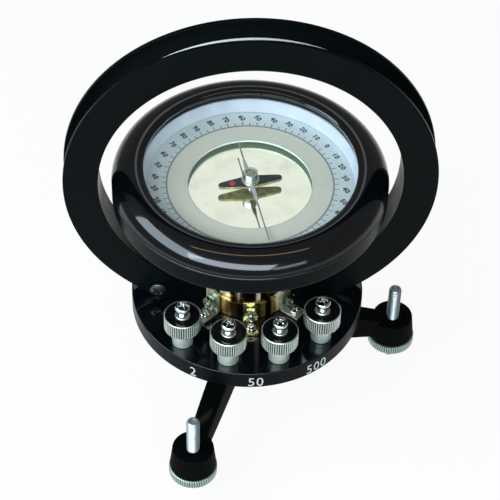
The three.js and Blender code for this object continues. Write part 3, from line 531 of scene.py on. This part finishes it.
print("finishes")
discGloss = glossFinish("discLacquer", (0.0008, 0.0020, 0.0032), 40.1, 40.5, 0.06)
bezelGloss = glossFinish("bezelLacquer", (0.0010, 0.0018, 0.0026), 118.4, 121.6, 0.06)
satin = enamelFinish("satinLacquer", (0.0010, 0.0026, 0.0028), 0.30, 0.05)
boxPaint = glossFinish("boxLacquer", (0.0008, 0.0022, 0.0026), 117.7, 118.2, 0.05)
insertPlastic = enamelFinish("insertPlastic", (0.003, 0.0032, 0.0035), 0.12, 0.4)
cast = castFinish()
nickel = gripFinish("nickelPlate", (0.52, 0.60, 0.53), 0.20, 51.7, 0.85)
wheelNickel = gripFinish("wheelNickel", (0.36, 0.47, 0.42), 0.25, -20, 0.8)
chrome = metalFinish("polishedScrew", (0.74, 0.76, 0.75), (0.40, 0.40, 0.38), 0.12, 3.0, 0.3, 0.0)
zinc = metalFinish("zincBolt", (0.44, 0.48, 0.36), (0.17, 0.19, 0.11), 0.14, 1.8, 0.9, 0.0, 0.08)
zincPlate = metalFinish("zincPlate", (0.46, 0.50, 0.36), (0.20, 0.22, 0.13), 0.16, 1.8, 0.9, 0.0, 0.08, 0.66)
# painted shade: a dark copy of the zinc, for the flange screw that sits in shadow
shadowedZinc = metalFinish("shadowedZinc", (0.12, 0.15, 0.12), (0.03, 0.035, 0.02), 0.34, 1.2, 0.9)
rodSteel = metalFinish("paleSteel", (0.37, 0.42, 0.42), (0.26, 0.30, 0.29), 0.36, 4.0, 0.4, 0.0, plate=0.85)
brass = streakPaintedFinish("brightBrass", (0.72, 0.46, 0.11), (0.04, 0.024, 0.008), (0.95, 0.90, 0.66), 0.16, 3.0)
brassPlate = metalFinish("brassPlate", (0.50, 0.44, 0.20), (0.16, 0.11, 0.03), 0.14, 2.0, 0.8, 0.0, 0.08)
bronze = streakPaintedFinish("darkTube", (0.12, 0.08, 0.03), (0.012, 0.010, 0.007), (0.85, 0.80, 0.62), 0.14, 3.5)
cotton = tapeFinish()
numeralPaint = plainFinish("numeralPaint", (0.50, 0.55, 0.55), 0.7, change=0.08)
inkPaint = plainFinish("dialInk", (0.008, 0.014, 0.016), 0.7, change=0.3)
copper = plainFinish("copperWire", (0.42, 0.15, 0.06), 0.35, 0.6)
rubber = plainFinish("sealRing", (0.012, 0.012, 0.012), 0.85)
pointerMetal = needleFinish("pointerAluminium", (0.66, 0.70, 0.68), (0.30, 0.33, 0.31), (0.60, 0.46, 0.04),
                            (0.62, 0.64, 0.58), 116.35, 16.0, 0.35, 0.7)
magnetSteel = needleFinish("magnetSteel", (0.010, 0.014, 0.015), (0.012, 0.015, 0.017), (0.52, 0.44, 0.12),
                           (0.30, 0.26, 0.14), 115.9, 13.0, 0.4, 0.2)
redDot = plainFinish("redDot", (0.50, 0.006, 0.015), 0.5, change=0.15)
jewel = plainFinish("agateJewel", (0.22, 0.22, 0.11), 0.12)


# Placing pieces

slotOf = {entry["node"]: entry["material_slot"] for entry in frame["record"]["subparts"]}


def piece(name, mesh, finish, body, replaced=(), slot=None):
    mesh.materials.clear()
    mesh.materials.append(finish)
    thing = bpy.data.objects.new(name, mesh)
    scene.collection.objects.link(thing)
    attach(thing, body)
    if replaced:
        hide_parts(*replaced)
    slot = slot or (slotOf[replaced[0]] if replaced else None)
    return thing


def repaint(node, finish):
    mesh = frame["nodes"][node].data
    if not mesh.materials:
        mesh.materials.append(finish)
    for at in range(len(mesh.materials)):
        mesh.materials[at] = finish


# Coil

print("coil")
coil = {"bore": 73.2, "rim": 90.0, "half": 8.75, "flange": 2.2, "floor": 2.0, "soft": 0.35}
tape = {"inside": 79.8, "outside": 80.25, "half": 6.25, "drawnIn": 0.05}


def coilFormer():
    # a channel section carried round the coil's axis
    bore, rim, half = take(coil, "bore rim half")
    groove, floor = half - coil["flange"], bore + coil["floor"]
    outline = [(bore, -half), (rim, -half), (rim, -groove), (floor, -groove), (floor, groove), (rim, groove),
               (rim, half), (bore, half)]
    return turned("coilFormer", outline, ringSteps, soft=coil["soft"], axis="Y")


def cottonTape():
    # a thin band whose outer edges are drawn in a little
    inside, outside, half = take(tape, "inside outside half")
    drawn = half - tape["drawnIn"]
    outline = [(inside, -half), (outside, -drawn), (outside, drawn), (inside, half)]
    return turned("cottonTape", outline, ringSteps, axis="Y")


piece("coilFormer", coilFormer(), satin, "turntable", ["coil_former"])
piece("cottonTape", cottonTape(), cotton, "turntable", ["winding_tape"])
for name in ("winding_500_turns", "winding_50_turns", "winding_2_turns", "coil_leads"):
    repaint(name, copper)

# Turntable

print("turntable")
disc = {"radius": 59.0, "thick": 10.0, "soft": 0.5, "boss": 24.0, "bossFoot": 22.0, "rimWall": 3.5,
        "plate": 4.0, "bridge": 12.5, "slotHalf": 9.05, "slotRadius": 90.3, "nutRoom": (0, 8.1, 24.8, 32)}


def coilSlot(inside):
    # the room that the coil's foot needs, a ring round the coil's axis
    section = (inside, disc["slotRadius"], -disc["slotHalf"], disc["slotHalf"])
    return ring("slot", section, ringSteps, axis="Y")


def turntableDisc():
    # a stepped disc, less the coil's slot, two pockets below it and the pivot nut's room; each pocket lies
    # between two arcs, which end at the angle whose sine is the bridge over their radius
    radius, boss, bossFoot = take(disc, "radius boss bossFoot")
    foot, outer = discTop - disc["thick"], radius - disc["rimWall"]
    outline = [(0, bossFoot), (boss, bossFoot), (boss, foot), (radius, foot), (radius, discTop), (0, discTop)]
    body = turned("turntableDisc", outline, 256, closed=False, soft=disc["soft"])
    cutters = [coilSlot(0)]
    outerEnd, innerEnd = (math.degrees(math.asin(disc["bridge"] / reach)) for reach in (outer, boss))
    for side in (0, 180):
        outline = np.vstack([arc(outer, outerEnd + side, 180 - outerEnd + side, 65),
                             arc(boss, 180 - innerEnd + side, innerEnd + side, 33)])
        cutters.append(prism("pocket", outline, foot - 2, discTop - disc["plate"]))
    cutters.append(ring("nutRoom", disc["nutRoom"], 48))
    return cutAway(body, cutters)


piece("turntableDisc", turntableDisc(), discGloss, "turntable", ["turntable_disc"])


def lettering(text, style):
    # a flat closed mesh of letters, in millimetres, drawn bolder by the style's weight
    curve = bpy.data.curves.new("lettering", "FONT")
    curve.body, curve.align_x, curve.align_y = text, "CENTER", "CENTER"
    curve.size, curve.offset, curve.extrude = take(style, "size weight depth")
    curve.resolution_u, curve.space_character = style["steps"], 1.12
    thing = bpy.data.objects.new("lettering", curve)
    scene.collection.objects.link(thing)
    mesh = bpy.data.meshes.new_from_object(thing.evaluated_get(bpy.context.evaluated_depsgraph_get()))
    bpy.data.objects.remove(thing)
    work = bmesh.new()
    work.from_mesh(mesh)
    bmesh.ops.remove_doubles(work, verts=work.verts, dist=merge["letters"])
    work.to_mesh(mesh)
    work.free()
    return mesh


def wrapped(mesh, angle, radius, middle):
    # flat letters bent round a cylinder: across becomes an angle, up becomes a height
    flat = np.zeros(len(mesh.vertices) * 3)
    mesh.vertices.foreach_get("co", flat)
    flat = flat.reshape(-1, 3)
    turn = math.radians(angle) + flat[:, 0] / radius
    reach = radius + flat[:, 2]
    bent = np.stack([reach * np.sin(turn), -reach * np.cos(turn), middle + flat[:, 1]], -1) * mm
    mesh.vertices.foreach_set("co", bent.ravel())
    mesh.update()
    return mesh


numeral = {"size": 7.6, "weight": 0.0, "depth": 0.04, "steps": 5, "tall": 1.15, "drop": 1.3,
           "places": (("2", -28.9), ("50", 2.3), ("500", 34.0))}


def rimNumerals():
    # the turns of each winding, round the disc's edge at angles from the front
    stretch = Matrix.Scale(numeral["tall"], 4, (0, 1, 0))
    middle = discTop - disc["thick"] / 2 - numeral["drop"]
    return joinMeshes("rimNumerals", [
        wrapped(moved(lettering(text, numeral), stretch), angle, disc["radius"], middle)
        for text, angle in numeral["places"]])


piece("rimNumerals", rimNumerals(), numeralPaint, "turntable", slot="white_liner")

# Pillar, collar and brackets

print("pillar")
pillar = {"tube": (18.7, 20.7, seated, 98.6), "tubeSoft": 0.2, "straddle": 72.9,
          "collar": (21.0, 23.0, seated, 52.1), "soft": 0.3,
          "head": [(6.3, 89.9), (18.4, 89.9), (18.4, 98.9), (24, 98.9), (24, 102.9), (6.3, 102.9)]}


def pillarTube():
    # a plain tube, less the coil's room
    tube = ring("pillarTube", pillar["tube"], 160, pillar["tubeSoft"])
    return cutAway(tube, [coilSlot(pillar["straddle"])])


def collarHalf(name, side):
    # a ring whose half angle at each radius is the arc cosine of the slot's half width over the radius
    outline = softened(ringOutline(pillar["collar"]), pillar["soft"])
    radius, height = outline[:, 0][None, :], outline[:, 1][None, :]
    angle = np.linspace(-1, 1, 72)[:, None] * np.arccos(disc["slotHalf"] / radius)
    grid = np.stack([radius * np.sin(angle), side * radius * np.cos(angle), height + 0 * angle], -1)
    return gridMesh(name, grid, caps=True)


piece("pillarTube", pillarTube(), bronze, "turntable", ["pillar_tube"])
piece("collarFront", collarHalf("collarFront", -1), brass, "turntable", ["collar_front"])
piece("collarRear", collarHalf("collarRear", 1), brass, "turntable", ["collar_rear"])
pillarHead = turned("pillarHead", pillar["head"], 128, soft=pillar["soft"])
piece("pillarHead", pillarHead, brass, "turntable", ["pillar_head"])


def hexNut(name, across, low, high):
    # a hexagon's radius at each angle, held under a cone near both faces
    edge, face, cone, free = 0.2, across * 0.5, across * 0.55, 99
    angle = np.linspace(0, tau, 96, endpoint=False)
    flat = (across / 2) / np.cos((angle % (tau / 6)) - tau / 12)
    height = np.array([low, low, low + edge, low + 2 * edge, high - 2 * edge, high - edge, high, high])
    limit = np.array([0, face, cone, free, free, cone, face, 0])
    radius = np.minimum(flat[None, :], limit[:, None])
    grid = np.stack([radius * np.cos(angle), radius * np.sin(angle), height[:, None] + 0 * radius], -1)
    return gridMesh(name, grid, sharpAngle=25)


def threaded(name, radius, pitch, depth, low, high, columns):
    # a rod whose radius falls by a triangle wave of height less the helix's own rise, and runs out at its ends
    slope, land, runOut = 2.6, 0.15, pitch * 0.6
    rows = int((high - low) / pitch * 8) + 1
    height = np.linspace(low, high, rows)[:, None]
    angle = np.linspace(0, tau, columns, endpoint=False)[None, :]
    phase = (height / pitch - angle / tau) % 1
    wave = np.clip(np.abs(phase - 0.5) * slope - land, 0, 1)
    ends = np.clip(np.minimum(height - low, high - height) / runOut, 0, 1)
    reach = radius - depth * (wave * ends + (1 - ends))
    grid = np.stack([reach * np.cos(angle), reach * np.sin(angle), height + 0 * angle], -1)
    return gridMesh(name, grid, caps=True, sharpAngle=60)


def crossHead(name, radius, tall, seat, recess=1.0):
    # a pan head: height falls as a super-ellipse of the radius, less a tapered cross in the middle, whose arms
    # are as wide as recess says
    rim, power, sunk = 0.42, 3.2, tall * 0.62
    arm, reach, middle = 0.17 * radius * recess, 0.62 * radius, 0.3 * radius
    share = np.concatenate([np.linspace(0, 0.86, 30), np.linspace(0.875, 1, 9)])[:, None]
    angle = np.linspace(0, tau, 96, endpoint=False)[None, :]
    out = share * radius
    top = tall * (rim + (1 - rim) * (1 - share ** power) ** 0.5)
    x, y = out * np.cos(angle), out * np.sin(angle)

    def bar(across, along):
        # 1 within one arm of the cross, falling to 0 over its sloping walls
        wide = np.clip((arm - np.abs(across)) / 0.12 + 0.5, 0, 1)
        return wide * np.clip((reach - np.abs(along)) / 0.25, 0, 1)

    cut = np.maximum(np.maximum(bar(x, y), bar(y, x)), np.clip((middle - out) / 0.2, 0, 1))
    roof = np.stack([x, y, seat + top - sunk * cut], -1)
    side = [np.column_stack([r * radius * np.cos(angle[0]), r * radius * np.sin(angle[0]),
                             np.full(96, seat + z * tall)])
            for r, z in ((1, 0.2), (0.985, 0.04), (0.95, 0), (0, 0))]
    return gridMesh(name, np.concatenate([roof, np.stack(side)]), sharpAngle=40)


def screwMesh(name, head, parts):
    # a head with the thread and the nut that the piece's dictionary gives
    return joinMeshes(name, [head, threaded("thread", *parts["thread"]), hexNut("nut", *parts["nut"])])


# thread: radius, pitch, depth, foot, top and points round it; nut: width, foot and top; crossed head: radius,
# height, foot and how wide its cross is
bracket = {"turned": 1.8, "apart": 48.5, "face": 23.3, "thick": 1.5, "tall": 14.0, "reach": 34.4, "wide": 7.5,
           "bend": 0.8, "soft": 0.25, "softFrom": 50,
           "names": ["front_left", "front", "front_right", "rear_right", "rear", "rear_left"]}
fixing = {"up": 7.6, "head": (0, 2.6, 16.6, 18.2), "soft": 0.2, "thread": (1.5, 0.5, 0.25, 16.6, 29.4, 24),
          "nut": (7.0, 25.1, 28.3), "turn": 30}
footScrew = {"at": 30.4, "head": (2.6, 1.7, 0), "turnShare": 0.7}
flange = {"x": -45.5, "drop": 71.9, "turn": 0.6, "head": (4.1, 2.2, 9.05),
          "thread": (1.5, 0.5, 0.25, 2.65, 9.2, 24), "nut": (6.0, 3.85, 6.25)}


def bracketMesh():
    # an L outline with a round bend, carried across its width; the bevel softens its edges
    face, thick, tall, reach, wide, bend = take(bracket, "face thick tall reach wide bend")
    centre = (face + thick + bend, thick + bend)
    outline = np.vstack([[(face, tall), (face + thick, tall)], arc(bend, 180, 270, 6) + centre,
                         [(reach, thick), (reach, 0)], arc(bend + thick, 270, 180, 8) + centre])
    return moved(prism("bracket", outline, -wide / 2, wide / 2), spin(math.pi / 2, "X"))


footScrews = []
bracketAngles = [bracket["turned"] + bracket["apart"] * step + side
                 for side in (0, 180) for step in (-1, 0, 1)]
for angle, place in zip(bracketAngles, bracket["names"]):
    finish = brassPlate if place in ("front", "rear") else zincPlate
    strip = moved(bracketMesh(), facing(angle) @ shift(0, 0, seated))
    thing = piece("bracket_plate_" + place, strip, finish, "turntable", ["bracket_" + place])
    soft = thing.modifiers.new("soft", "BEVEL")
    soft.width, soft.segments, soft.limit_method = bracket["soft"] * mm, 2, "ANGLE"
    soft.angle_limit = math.radians(bracket["softFrom"])
    bolt = screwMesh("bolt", ring("head", fixing["head"], 32, fixing["soft"]), fixing)
    laid = spin(math.pi / 2, "Y") @ spin(math.radians(fixing["turn"]))
    moved(bolt, facing(angle) @ shift(0, 0, discTop + fixing["up"]) @ laid)
    piece("bracket_fixing_" + place, bolt, zinc, "turntable", ["bracket_bolt_" + place])
    seat = shift(*azimuth(angle, footScrew["at"]), seated + bracket["thick"])
    head = crossHead("footScrew", *footScrew["head"])
    footScrews.append(moved(head, seat @ spin(angle * footScrew["turnShare"])))
piece("bracketFootScrews", joinMeshes("bracketFootScrews", footScrews), chrome, "turntable",
      slot="nickel_plate")

flangeScrew = screwMesh("flangeScrew", crossHead("head", *flange["head"]), flange)
laid = spin(math.pi / 2, "X") @ spin(flange["turn"])
moved(flangeScrew, shift(flange["x"], 0, coilZ - flange["drop"]) @ laid)
piece("flangeScrew", flangeScrew, shadowedZinc, "turntable", ["flange_screw"])

# Terminals

print("terminals")
terminal = {"circle": 49.8, "turned": 1.8, "apart": 29.3, "headTurns": [0.3, 1.1, 0.7, 0.2],
            "head": (3.7, 2.7, 64.6, 0.75), "thread": (2.0, 0.7, 0.4, 31.6, 64.8, 32),
            "nut": (7.0, 32.3, 35.5), "insert": (4.1, 8.4, 59.2, 60.5), "insertSoft": 0.25}
knob = {"radius": 9.15, "bore": 2.3, "shank": 5.25, "neck": 51.8, "top": 60.8, "rim": 0.6, "edge": 0.35,
        "sunk": 1.9, "bush": 3.8, "bushUp": 0.2, "soft": 0.15, "ridges": 48, "depth": 0.6, "millDown": 0.45}
millSteps = 8                    # points round a milled rim for each of its ridges


def knurl(ridges, depth, low, high, radius):
    # flat lands with narrow V grooves on the outside wall, fading out towards both rims
    land, fadeOut, wall = 0.3, 0.3, 0.3

    def wave(reach, height, angle):
        groove = np.clip(1 - np.abs((angle * ridges / tau) % 1 - 0.5) / land, 0, 1)
        fade = np.clip(np.minimum(height - low, high - height) / fadeOut, 0, 1)
        return reach - depth * groove * fade * (reach > radius - wall)
    return wave


def knobMesh():
    # a shank, a milled rim round a sunk top, and a bush in its middle
    radius, bore, shank, neck, top, edge, bush = take(knob, "radius bore shank neck top edge bush")
    inner, floor, bushTop = radius - knob["rim"], top - knob["sunk"], top + knob["bushUp"]
    outline = [(bore, seated), (shank, seated), (shank, neck), (inner, neck)]
    outline += [(radius, z) for z in np.linspace(neck + edge, top - edge, 12)]
    outline += [(radius - edge, top), (inner, top), (inner, floor), (bush, floor), (bush, bushTop - edge),
                (bush - edge, bushTop), (bore, bushTop)]
    outline = softened(outline, knob["soft"], 2)
    wave = knurl(knob["ridges"], knob["depth"], neck, top - knob["millDown"], radius)
    return turned("knob", outline, knob["ridges"] * millSteps, wave=wave, sharpAngle=32)


for at, headTurn in enumerate(terminal["headTurns"]):
    angle = terminal["turned"] + terminal["apart"] * (at - 1.5)
    place = shift(*azimuth(angle, terminal["circle"]), 0)
    number = str(at + 1)
    piece("knob" + number, moved(knobMesh(), place), nickel, "terminal_grip_" + number,
          ["terminal_knob_" + number])
    insert = ring("insert", terminal["insert"], 96, terminal["insertSoft"])
    piece("insert" + number, moved(insert, place), insertPlastic, "terminal_cap_" + number,
          ["terminal_insert_" + number])
    screw = screwMesh("screw", crossHead("head", *terminal["head"]), terminal)
    piece("terminalScrew" + number, moved(screw, place @ spin(headTurn)), chrome, "turntable",
          ["terminal_screw_" + number])

# Tripod

print("tripod")
leg = {"angles": [-21.2, 98.8, 218.8], "names": ["front", "right", "rear"], "circle": 79.5, "root": 17,
       "rootWidth": 12.6, "endWidth": 9.4, "power": 0.32, "topLine": [(17, 19.6), (40, 18.9), (79.5, 1)],
       "underLine": [(17, 0.6), (40, -5.9), (79.5, -9.6)],
       "boss": [(3.6, -10.3), (11.8, -10.3), (10.4, 2.7), (3.6, 2.7)], "bossSoft": 0.7}
hub = {"outline": [(0, 5.6), (7.9, 5.6), (7.9, 0), (22, 0), (22, 20.6), (4.3, 20.6), (4.3, 6), (0, 6)],
       "soft": 0.8}


def armMesh():
    # a rounded bar: at each step out, a super-ellipse between the under line and the top line
    root, circle, rootWidth, endWidth = take(leg, "root circle rootWidth endWidth")
    steps = np.linspace(0, 1, 40)[:, None]
    upper, under = bezier(leg["topLine"], steps), bezier(leg["underLine"], steps)
    turn = np.linspace(0, tau, 64, endpoint=False)[None, :]
    across, up = (np.sign(wave) * np.abs(wave) ** leg["power"] for wave in (np.cos(turn), np.sin(turn)))
    reach = (upper[:, :1] + under[:, :1]) / 2
    width = rootWidth + (endWidth - rootWidth) * (reach - root) / (circle - root)
    middle, half = (upper[:, 1:] + under[:, 1:]) / 2, (upper[:, 1:] - under[:, 1:]) / 2
    grid = np.stack([reach + 0 * turn, across * width / 2, middle + up * half], -1)
    return gridMesh("arm", grid, caps=True, sharpAngle=50)


def tripodBase():
    # the hub, with the pivot's bore and the room for its head, and three arms with tapered bosses
    parts = [turned("hub", hub["outline"], 128, closed=False, soft=hub["soft"])]
    for angle in leg["angles"]:
        boss = turned("boss", leg["boss"], 128, soft=leg["bossSoft"])
        parts += [moved(armMesh(), facing(angle)), moved(boss, shift(*azimuth(angle, leg["circle"]), 0))]
    return joinMeshes("tripodBase", parts)


piece("tripodBase", tripodBase(), cast, "base", ["tripod_base"])
for node, finish in (("pivot_bolt", zinc), ("pivot_nut", zinc), ("pivot_washer", brass)):
    repaint(node, finish)

rod = {"thread": (3.3, 1.0, 0.5, -23.8, 22.9, 48), "tipSoft": 0.15, "topSoft": 0.1,
       "tip": [(0, -28), (2.0, -28), (2.8, -23.8), (0, -23.8)],
       "top": [(0, 20.9), (1.8, 21.3), (1.9, 23.5), (2.4, 23.5), (3.1, 22.9), (0, 20.8)]}
wheel = {"radius": 12.2, "bore": 3.6, "low": -15.8, "high": -10.8, "rim": 0.7, "edge": 0.4, "soft": 0.15,
         "ridges": 60, "depth": 0.4}


def levellingScrew():
    # a threaded rod with a tapered tip and a hollow in its top
    return joinMeshes("levellingScrew", [
        threaded("rod", *rod["thread"]),
        turned("tip", rod["tip"], 48, closed=False, soft=rod["tipSoft"]),
        turned("top", rod["top"], 48, closed=False, soft=rod["topSoft"])])


def levellingWheel():
    # a flat disc with a milled rim
    radius, bore, low, high, edge = take(wheel, "radius bore low high edge")
    rim = radius - wheel["rim"]
    wall = [(radius, z) for z in np.linspace(low + edge, high - edge, 8)]
    outline = softened([(bore, low), (rim, low)] + wall + [(rim, high), (bore, high)], wheel["soft"], 2)
    wave = knurl(wheel["ridges"], wheel["depth"], low, high, radius)
    return turned("wheel", outline, wheel["ridges"] * millSteps, wave=wave, sharpAngle=32)


for angle, place in zip(leg["angles"], leg["names"]):
    spot = shift(*azimuth(angle, leg["circle"]), 0)
    piece("screw_" + place, moved(levellingScrew(), spot), rodSteel, "foot_screw_" + place,
          ["levelling_screw_" + place])
    piece("wheel_" + place, moved(levellingWheel(), spot), wheelNickel, "foot_wheel_" + place,
          ["levelling_wheel_" + place])

# Compass box

print("compass box")
bezel = {"radius": 67.0, "foot": 119.0, "inside": 61.5, "lip": 124.9, "open": 51.6, "nose": 1.6, "edge": 0.1,
         "crest": 127.9, "crestAt": 55.4, "shoulder": ((0, 1), (0.36, 1.02), (0.92, 0.62), (1, 0))}
box = {"body": [(0, 105.5), (60, 105.5), (60, 108.7), (67, 108.7), (67, 118.7), (61.2, 118.7), (61.2, 121.4),
                (53.2, 121.4), (53.2, 112.8), (34, 112.8), (34, 109.2), (0, 109.2)], "bodySoft": 0.9,
       "liner": [(50.6, 114.6), (52.9, 114.6), (52.9, 121.4), (52.2, 121.4)],
       "dial": (30.2, 52.9, 113.1, 114.3), "mirror": (3, 33.7, 109.5, 111.1), "plateSoft": 0.1}


def bezelMesh():
    # the ring over the glass: a quadratic curve from the lip up to the crest and a cubic one down the
    # shoulder, whose points are shares of its width and height
    radius, foot, inside, lip, mouth, nose, edge, crest, crestAt = take(
        bezel, "radius foot inside lip open nose edge crest crestAt")
    shoulder = bezier([(crestAt + across * (radius - crestAt), foot + up * (crest - foot))
                       for across, up in bezel["shoulder"]], np.linspace(0, 1, 28)[:, None])
    inward = bezier([(mouth, lip + nose), (mouth + nose, crest), (crestAt, crest)],
                    np.linspace(0, 1, 12)[:, None])[:-1]
    outline = np.vstack([[(mouth, lip + edge)], inward, shoulder, [(inside, foot), (inside, lip)],
                         [(mouth + edge, lip)]])
    return turned("bezel", outline, ringSteps, sharpAngle=50)


piece("bezelRing", bezelMesh(), bezelGloss, "compass_box", ["bezel"])
boxBody = turned("boxBody", box["body"], ringSteps, closed=False, soft=box["bodySoft"])
piece("boxBody", boxBody, boxPaint, "compass_box", ["box_body"])
repaint("glass", glassFinish())
repaint("glass_gasket", rubber)
piece("linerRing", turned("linerRing", box["liner"], ringSteps), linerFinish(), "compass_box", ["liner"])
piece("dialPlate", ring("dialPlate", box["dial"], ringSteps, box["plateSoft"]), dialFinish(), "compass_box",
      ["dial"])
piece("mirrorDisc", ring("mirrorDisc", box["mirror"], ringSteps, box["plateSoft"]), mirrorFinish(),
      "compass_box", ["mirror"])
repaint("box_spindle", brass)
repaint("spindle_nut", brass)
repaint("needle_pin", chrome)

# Figures on the dial

figures = {"radius": 46.5, "apart": 10, "size": 3.6, "weight": 0.16, "depth": 0.02, "steps": 3}


def dialFigures():
    # 0 to 90 and back, twice round; every figure stands upright as seen with the zero mark at the top, so all
    # of them are parallel
    upright = spin(math.radians(dial["zero"] - 90)) @ Matrix.Scale(mm, 4)
    radius, plateTop = figures["radius"], box["dial"][-1]
    meshes = []
    for angle in range(0, 360, figures["apart"]):
        turn = math.radians(dial["zero"] + angle)
        place = shift(radius * math.cos(turn), radius * math.sin(turn), plateTop)
        meshes.append(moved(lettering(str(90 - abs(90 - angle % 180)), figures), place @ upright))
    return joinMeshes("dialFigures", meshes)


piece("dialFigures", dialFigures(), inkPaint, "compass_box", slot="insert_black")

# Needle

print("needle")
magnet = {"length": 31.6, "width": 8.0, "tip": 3.6, "low": 114.4, "high": 116.0, "edge": 0.2, "drawnIn": 0.97}
pointer = {"turned": 10.7, "eye": (2.3, 4.0, 116.3, 116.7),
           "halfWidths": [(-40.6, 0.25), (-15, 0.35), (-11, 0.9), (0, 1.0), (11, 0.9), (15, 0.4), (27, 0.3)]}
cap = {"outline": [(1.3, 114.4), (2, 114.4), (2, 117), (4.4, 117), (4.4, 117.7), (3.5, 117.7), (3.5, 122),
                   (2.2, 122), (2.2, 120.2), (1.3, 120.2)], "soft": 0.25}
dot = {"at": -9, "section": (0, 1.5, 115.95, 116.08)}
needleTurn = spin(math.radians(pointer["turned"]))


def magnetMesh():
    # half width falls straight from the middle to a round tip; edges drawn in near both faces
    low, high, edge, share = take(magnet, "low high edge drawnIn")
    tip, half = magnet["tip"] / 2, magnet["width"] / 2
    reach = magnet["length"] / 2 - tip
    outline = np.vstack([[(0, -half)], arc(tip, -80, 80, 12) + (reach, 0), [(0, half)],
                         arc(tip, 100, 260, 12) - (reach, 0)])
    rings = [(0, low), (share, low), (1, low + edge), (1, high - edge), (share, high), (0, high)]
    grid = np.stack([np.column_stack([outline * size, np.full(len(outline), z)]) for size, z in rings])
    return gridMesh("magnet", grid, sharpAngle=30)


def pointerMesh():
    # a flat strip with a half width at each place along it, and an eye round the cap
    along, half = np.array(pointer["halfWidths"], float).T
    outline = np.column_stack([np.concatenate([half, -half[::-1]]), np.concatenate([along, along[::-1]])])
    strip = prism("strip", outline, *pointer["eye"][2:])
    return joinMeshes("pointer", [strip, ring("eye", pointer["eye"], 64)])


piece("magnetBar", moved(magnetMesh(), needleTurn), magnetSteel, "needle", ["magnet"])
piece("pointerStrip", moved(pointerMesh(), needleTurn), pointerMetal, "needle", ["pointer"])
needleCap = turned("needleCap", cap["outline"], 96, soft=cap["soft"])
piece("needleCap", needleCap, nickel, "needle", ["needle_cap"])
repaint("needle_jewel", jewel)
dotMesh = moved(ring("redDot", dot["section"], 40), needleTurn @ shift(dot["at"], 0, 0))
piece("redDot", dotMesh, redDot, "needle", slot="insert_black")

# Studio

print("studio")
# lengths in metres; lamps: place, width and height, radiance, colour; lens and sensor as on a camera
studio = {"floor": -0.028, "floorHalf": 5, "white": 1.0, "floorShare": 0.92, "floorMirrored": 0.75,
          "floorFades": (0.35, 0.65), "aim": (0, 0, 0.1), "roomDiffuse": 0.36, "roomGlossy": 0.16,
          "lamps": [("left", (-1.11, -0.30, 1.06), (1.3, 0.7), 6.0, (0.74, 0.87, 1.0)),
                    ("front", (-0.33, -1.08, 1.04), (1.5, 0.6), 8.0, (0.78, 0.89, 1.0)),
                    ("fill", (0.62, -1.17, 0.80), (0.6, 0.3), 3.0, (0.88, 0.95, 1.0)),
                    ("overhead", (0.0, -0.12, 1.7), (1.4, 0.06), 5.0, (1.0, 0.78, 0.42)),
                    ("back", (0.067, 1.2, 1.405), (0.32, 0.33), 0.95, (1.0, 1.0, 0.96))]}
view = {"lens": 139.21, "sensor": 36, "nearest": 0.01, "place": (-0.036162, -0.663875, 0.774612),
        "axes": ((0.99921888, -0.03364296, 0.02073097), (0.01034031, 0.72891978, 0.68452102),
                 (-0.03814052, -0.68377197, 0.72869829))}


def floorFinish():
    # pale floor: mostly plain white to camera and transmission rays, and near the object to glossy rays; the
    # rest takes light and shadow
    finish = Finish("floor", (0.68, 0.68, 0.68), 1.0, Specular_IOR_Level=0.0)
    camera, mirrored, through = finish.rays()
    near, far = studio["floorMirrored"], studio["roomGlossy"]
    sheet = finish.between(finish.fromAxis(), *studio["floorFades"], near, far)
    share = (camera.most(through) * studio["floorShare"]).most(mirrored * sheet)
    light = finish.node("ShaderNodeEmission", {}, {"Strength": studio["white"]})
    lit = Field(finish, finish.shader.outputs[0])
    mix = finish.node("ShaderNodeMixShader", {}, {0: share, 1: lit, 2: light})
    finish.tree.links.new(mix.socket, finish.tree.nodes["Material Output"].inputs["Surface"])
    return finish.material


half, level = studio["floorHalf"], studio["floor"]
corners = [(-half, -half, level), (half, -half, level), (half, half, level), (-half, half, level)]
floorMesh = bpy.data.meshes.new("floor")
floorMesh.from_pydata(corners, [], [(0, 1, 2, 3)])
floorMesh.materials.append(floorFinish())
floorThing = bpy.data.objects.new("floor", floorMesh)
scene.collection.objects.link(floorThing)

for name, spot, (wide, tall), radiance, tint in studio["lamps"]:
    lamp = bpy.data.lights.new(name, "AREA")
    lamp.shape, lamp.size, lamp.size_y, lamp.color = "RECTANGLE", wide, tall, tint
    lamp.energy = math.pi * wide * tall * radiance
    thing = bpy.data.objects.new(name, lamp)
    thing.location = spot
    thing.rotation_euler = (Vector(studio["aim"]) - Vector(spot)).to_track_quat("-Z", "Y").to_euler()
    scene.collection.objects.link(thing)

# the room: white where a camera or transmission ray sees it, and darker where metal mirrors it than it lights
scene.world = bpy.data.worlds.new("studio")
scene.world.use_nodes = True
room = Graph(scene.world.node_tree, "Background")
seen, mirrored, through = room.rays()
dim = mirrored * (studio["roomGlossy"] - studio["roomDiffuse"]) + studio["roomDiffuse"]
room.feed("Strength", seen.most(through).most(dim))
room.shader.inputs["Color"].default_value = (1, 1, 1, 1)

camera = bpy.data.objects.new("camera", bpy.data.cameras.new("camera"))
camera.data.lens, camera.data.sensor_width, camera.data.clip_start = take(view, "lens sensor nearest")
camera.matrix_world = Matrix.Translation(view["place"]) @ Matrix(view["axes"]).transposed().to_4x4()
scene.collection.objects.link(camera)
scene.camera = camera
scene.view_settings.view_transform = "Standard"
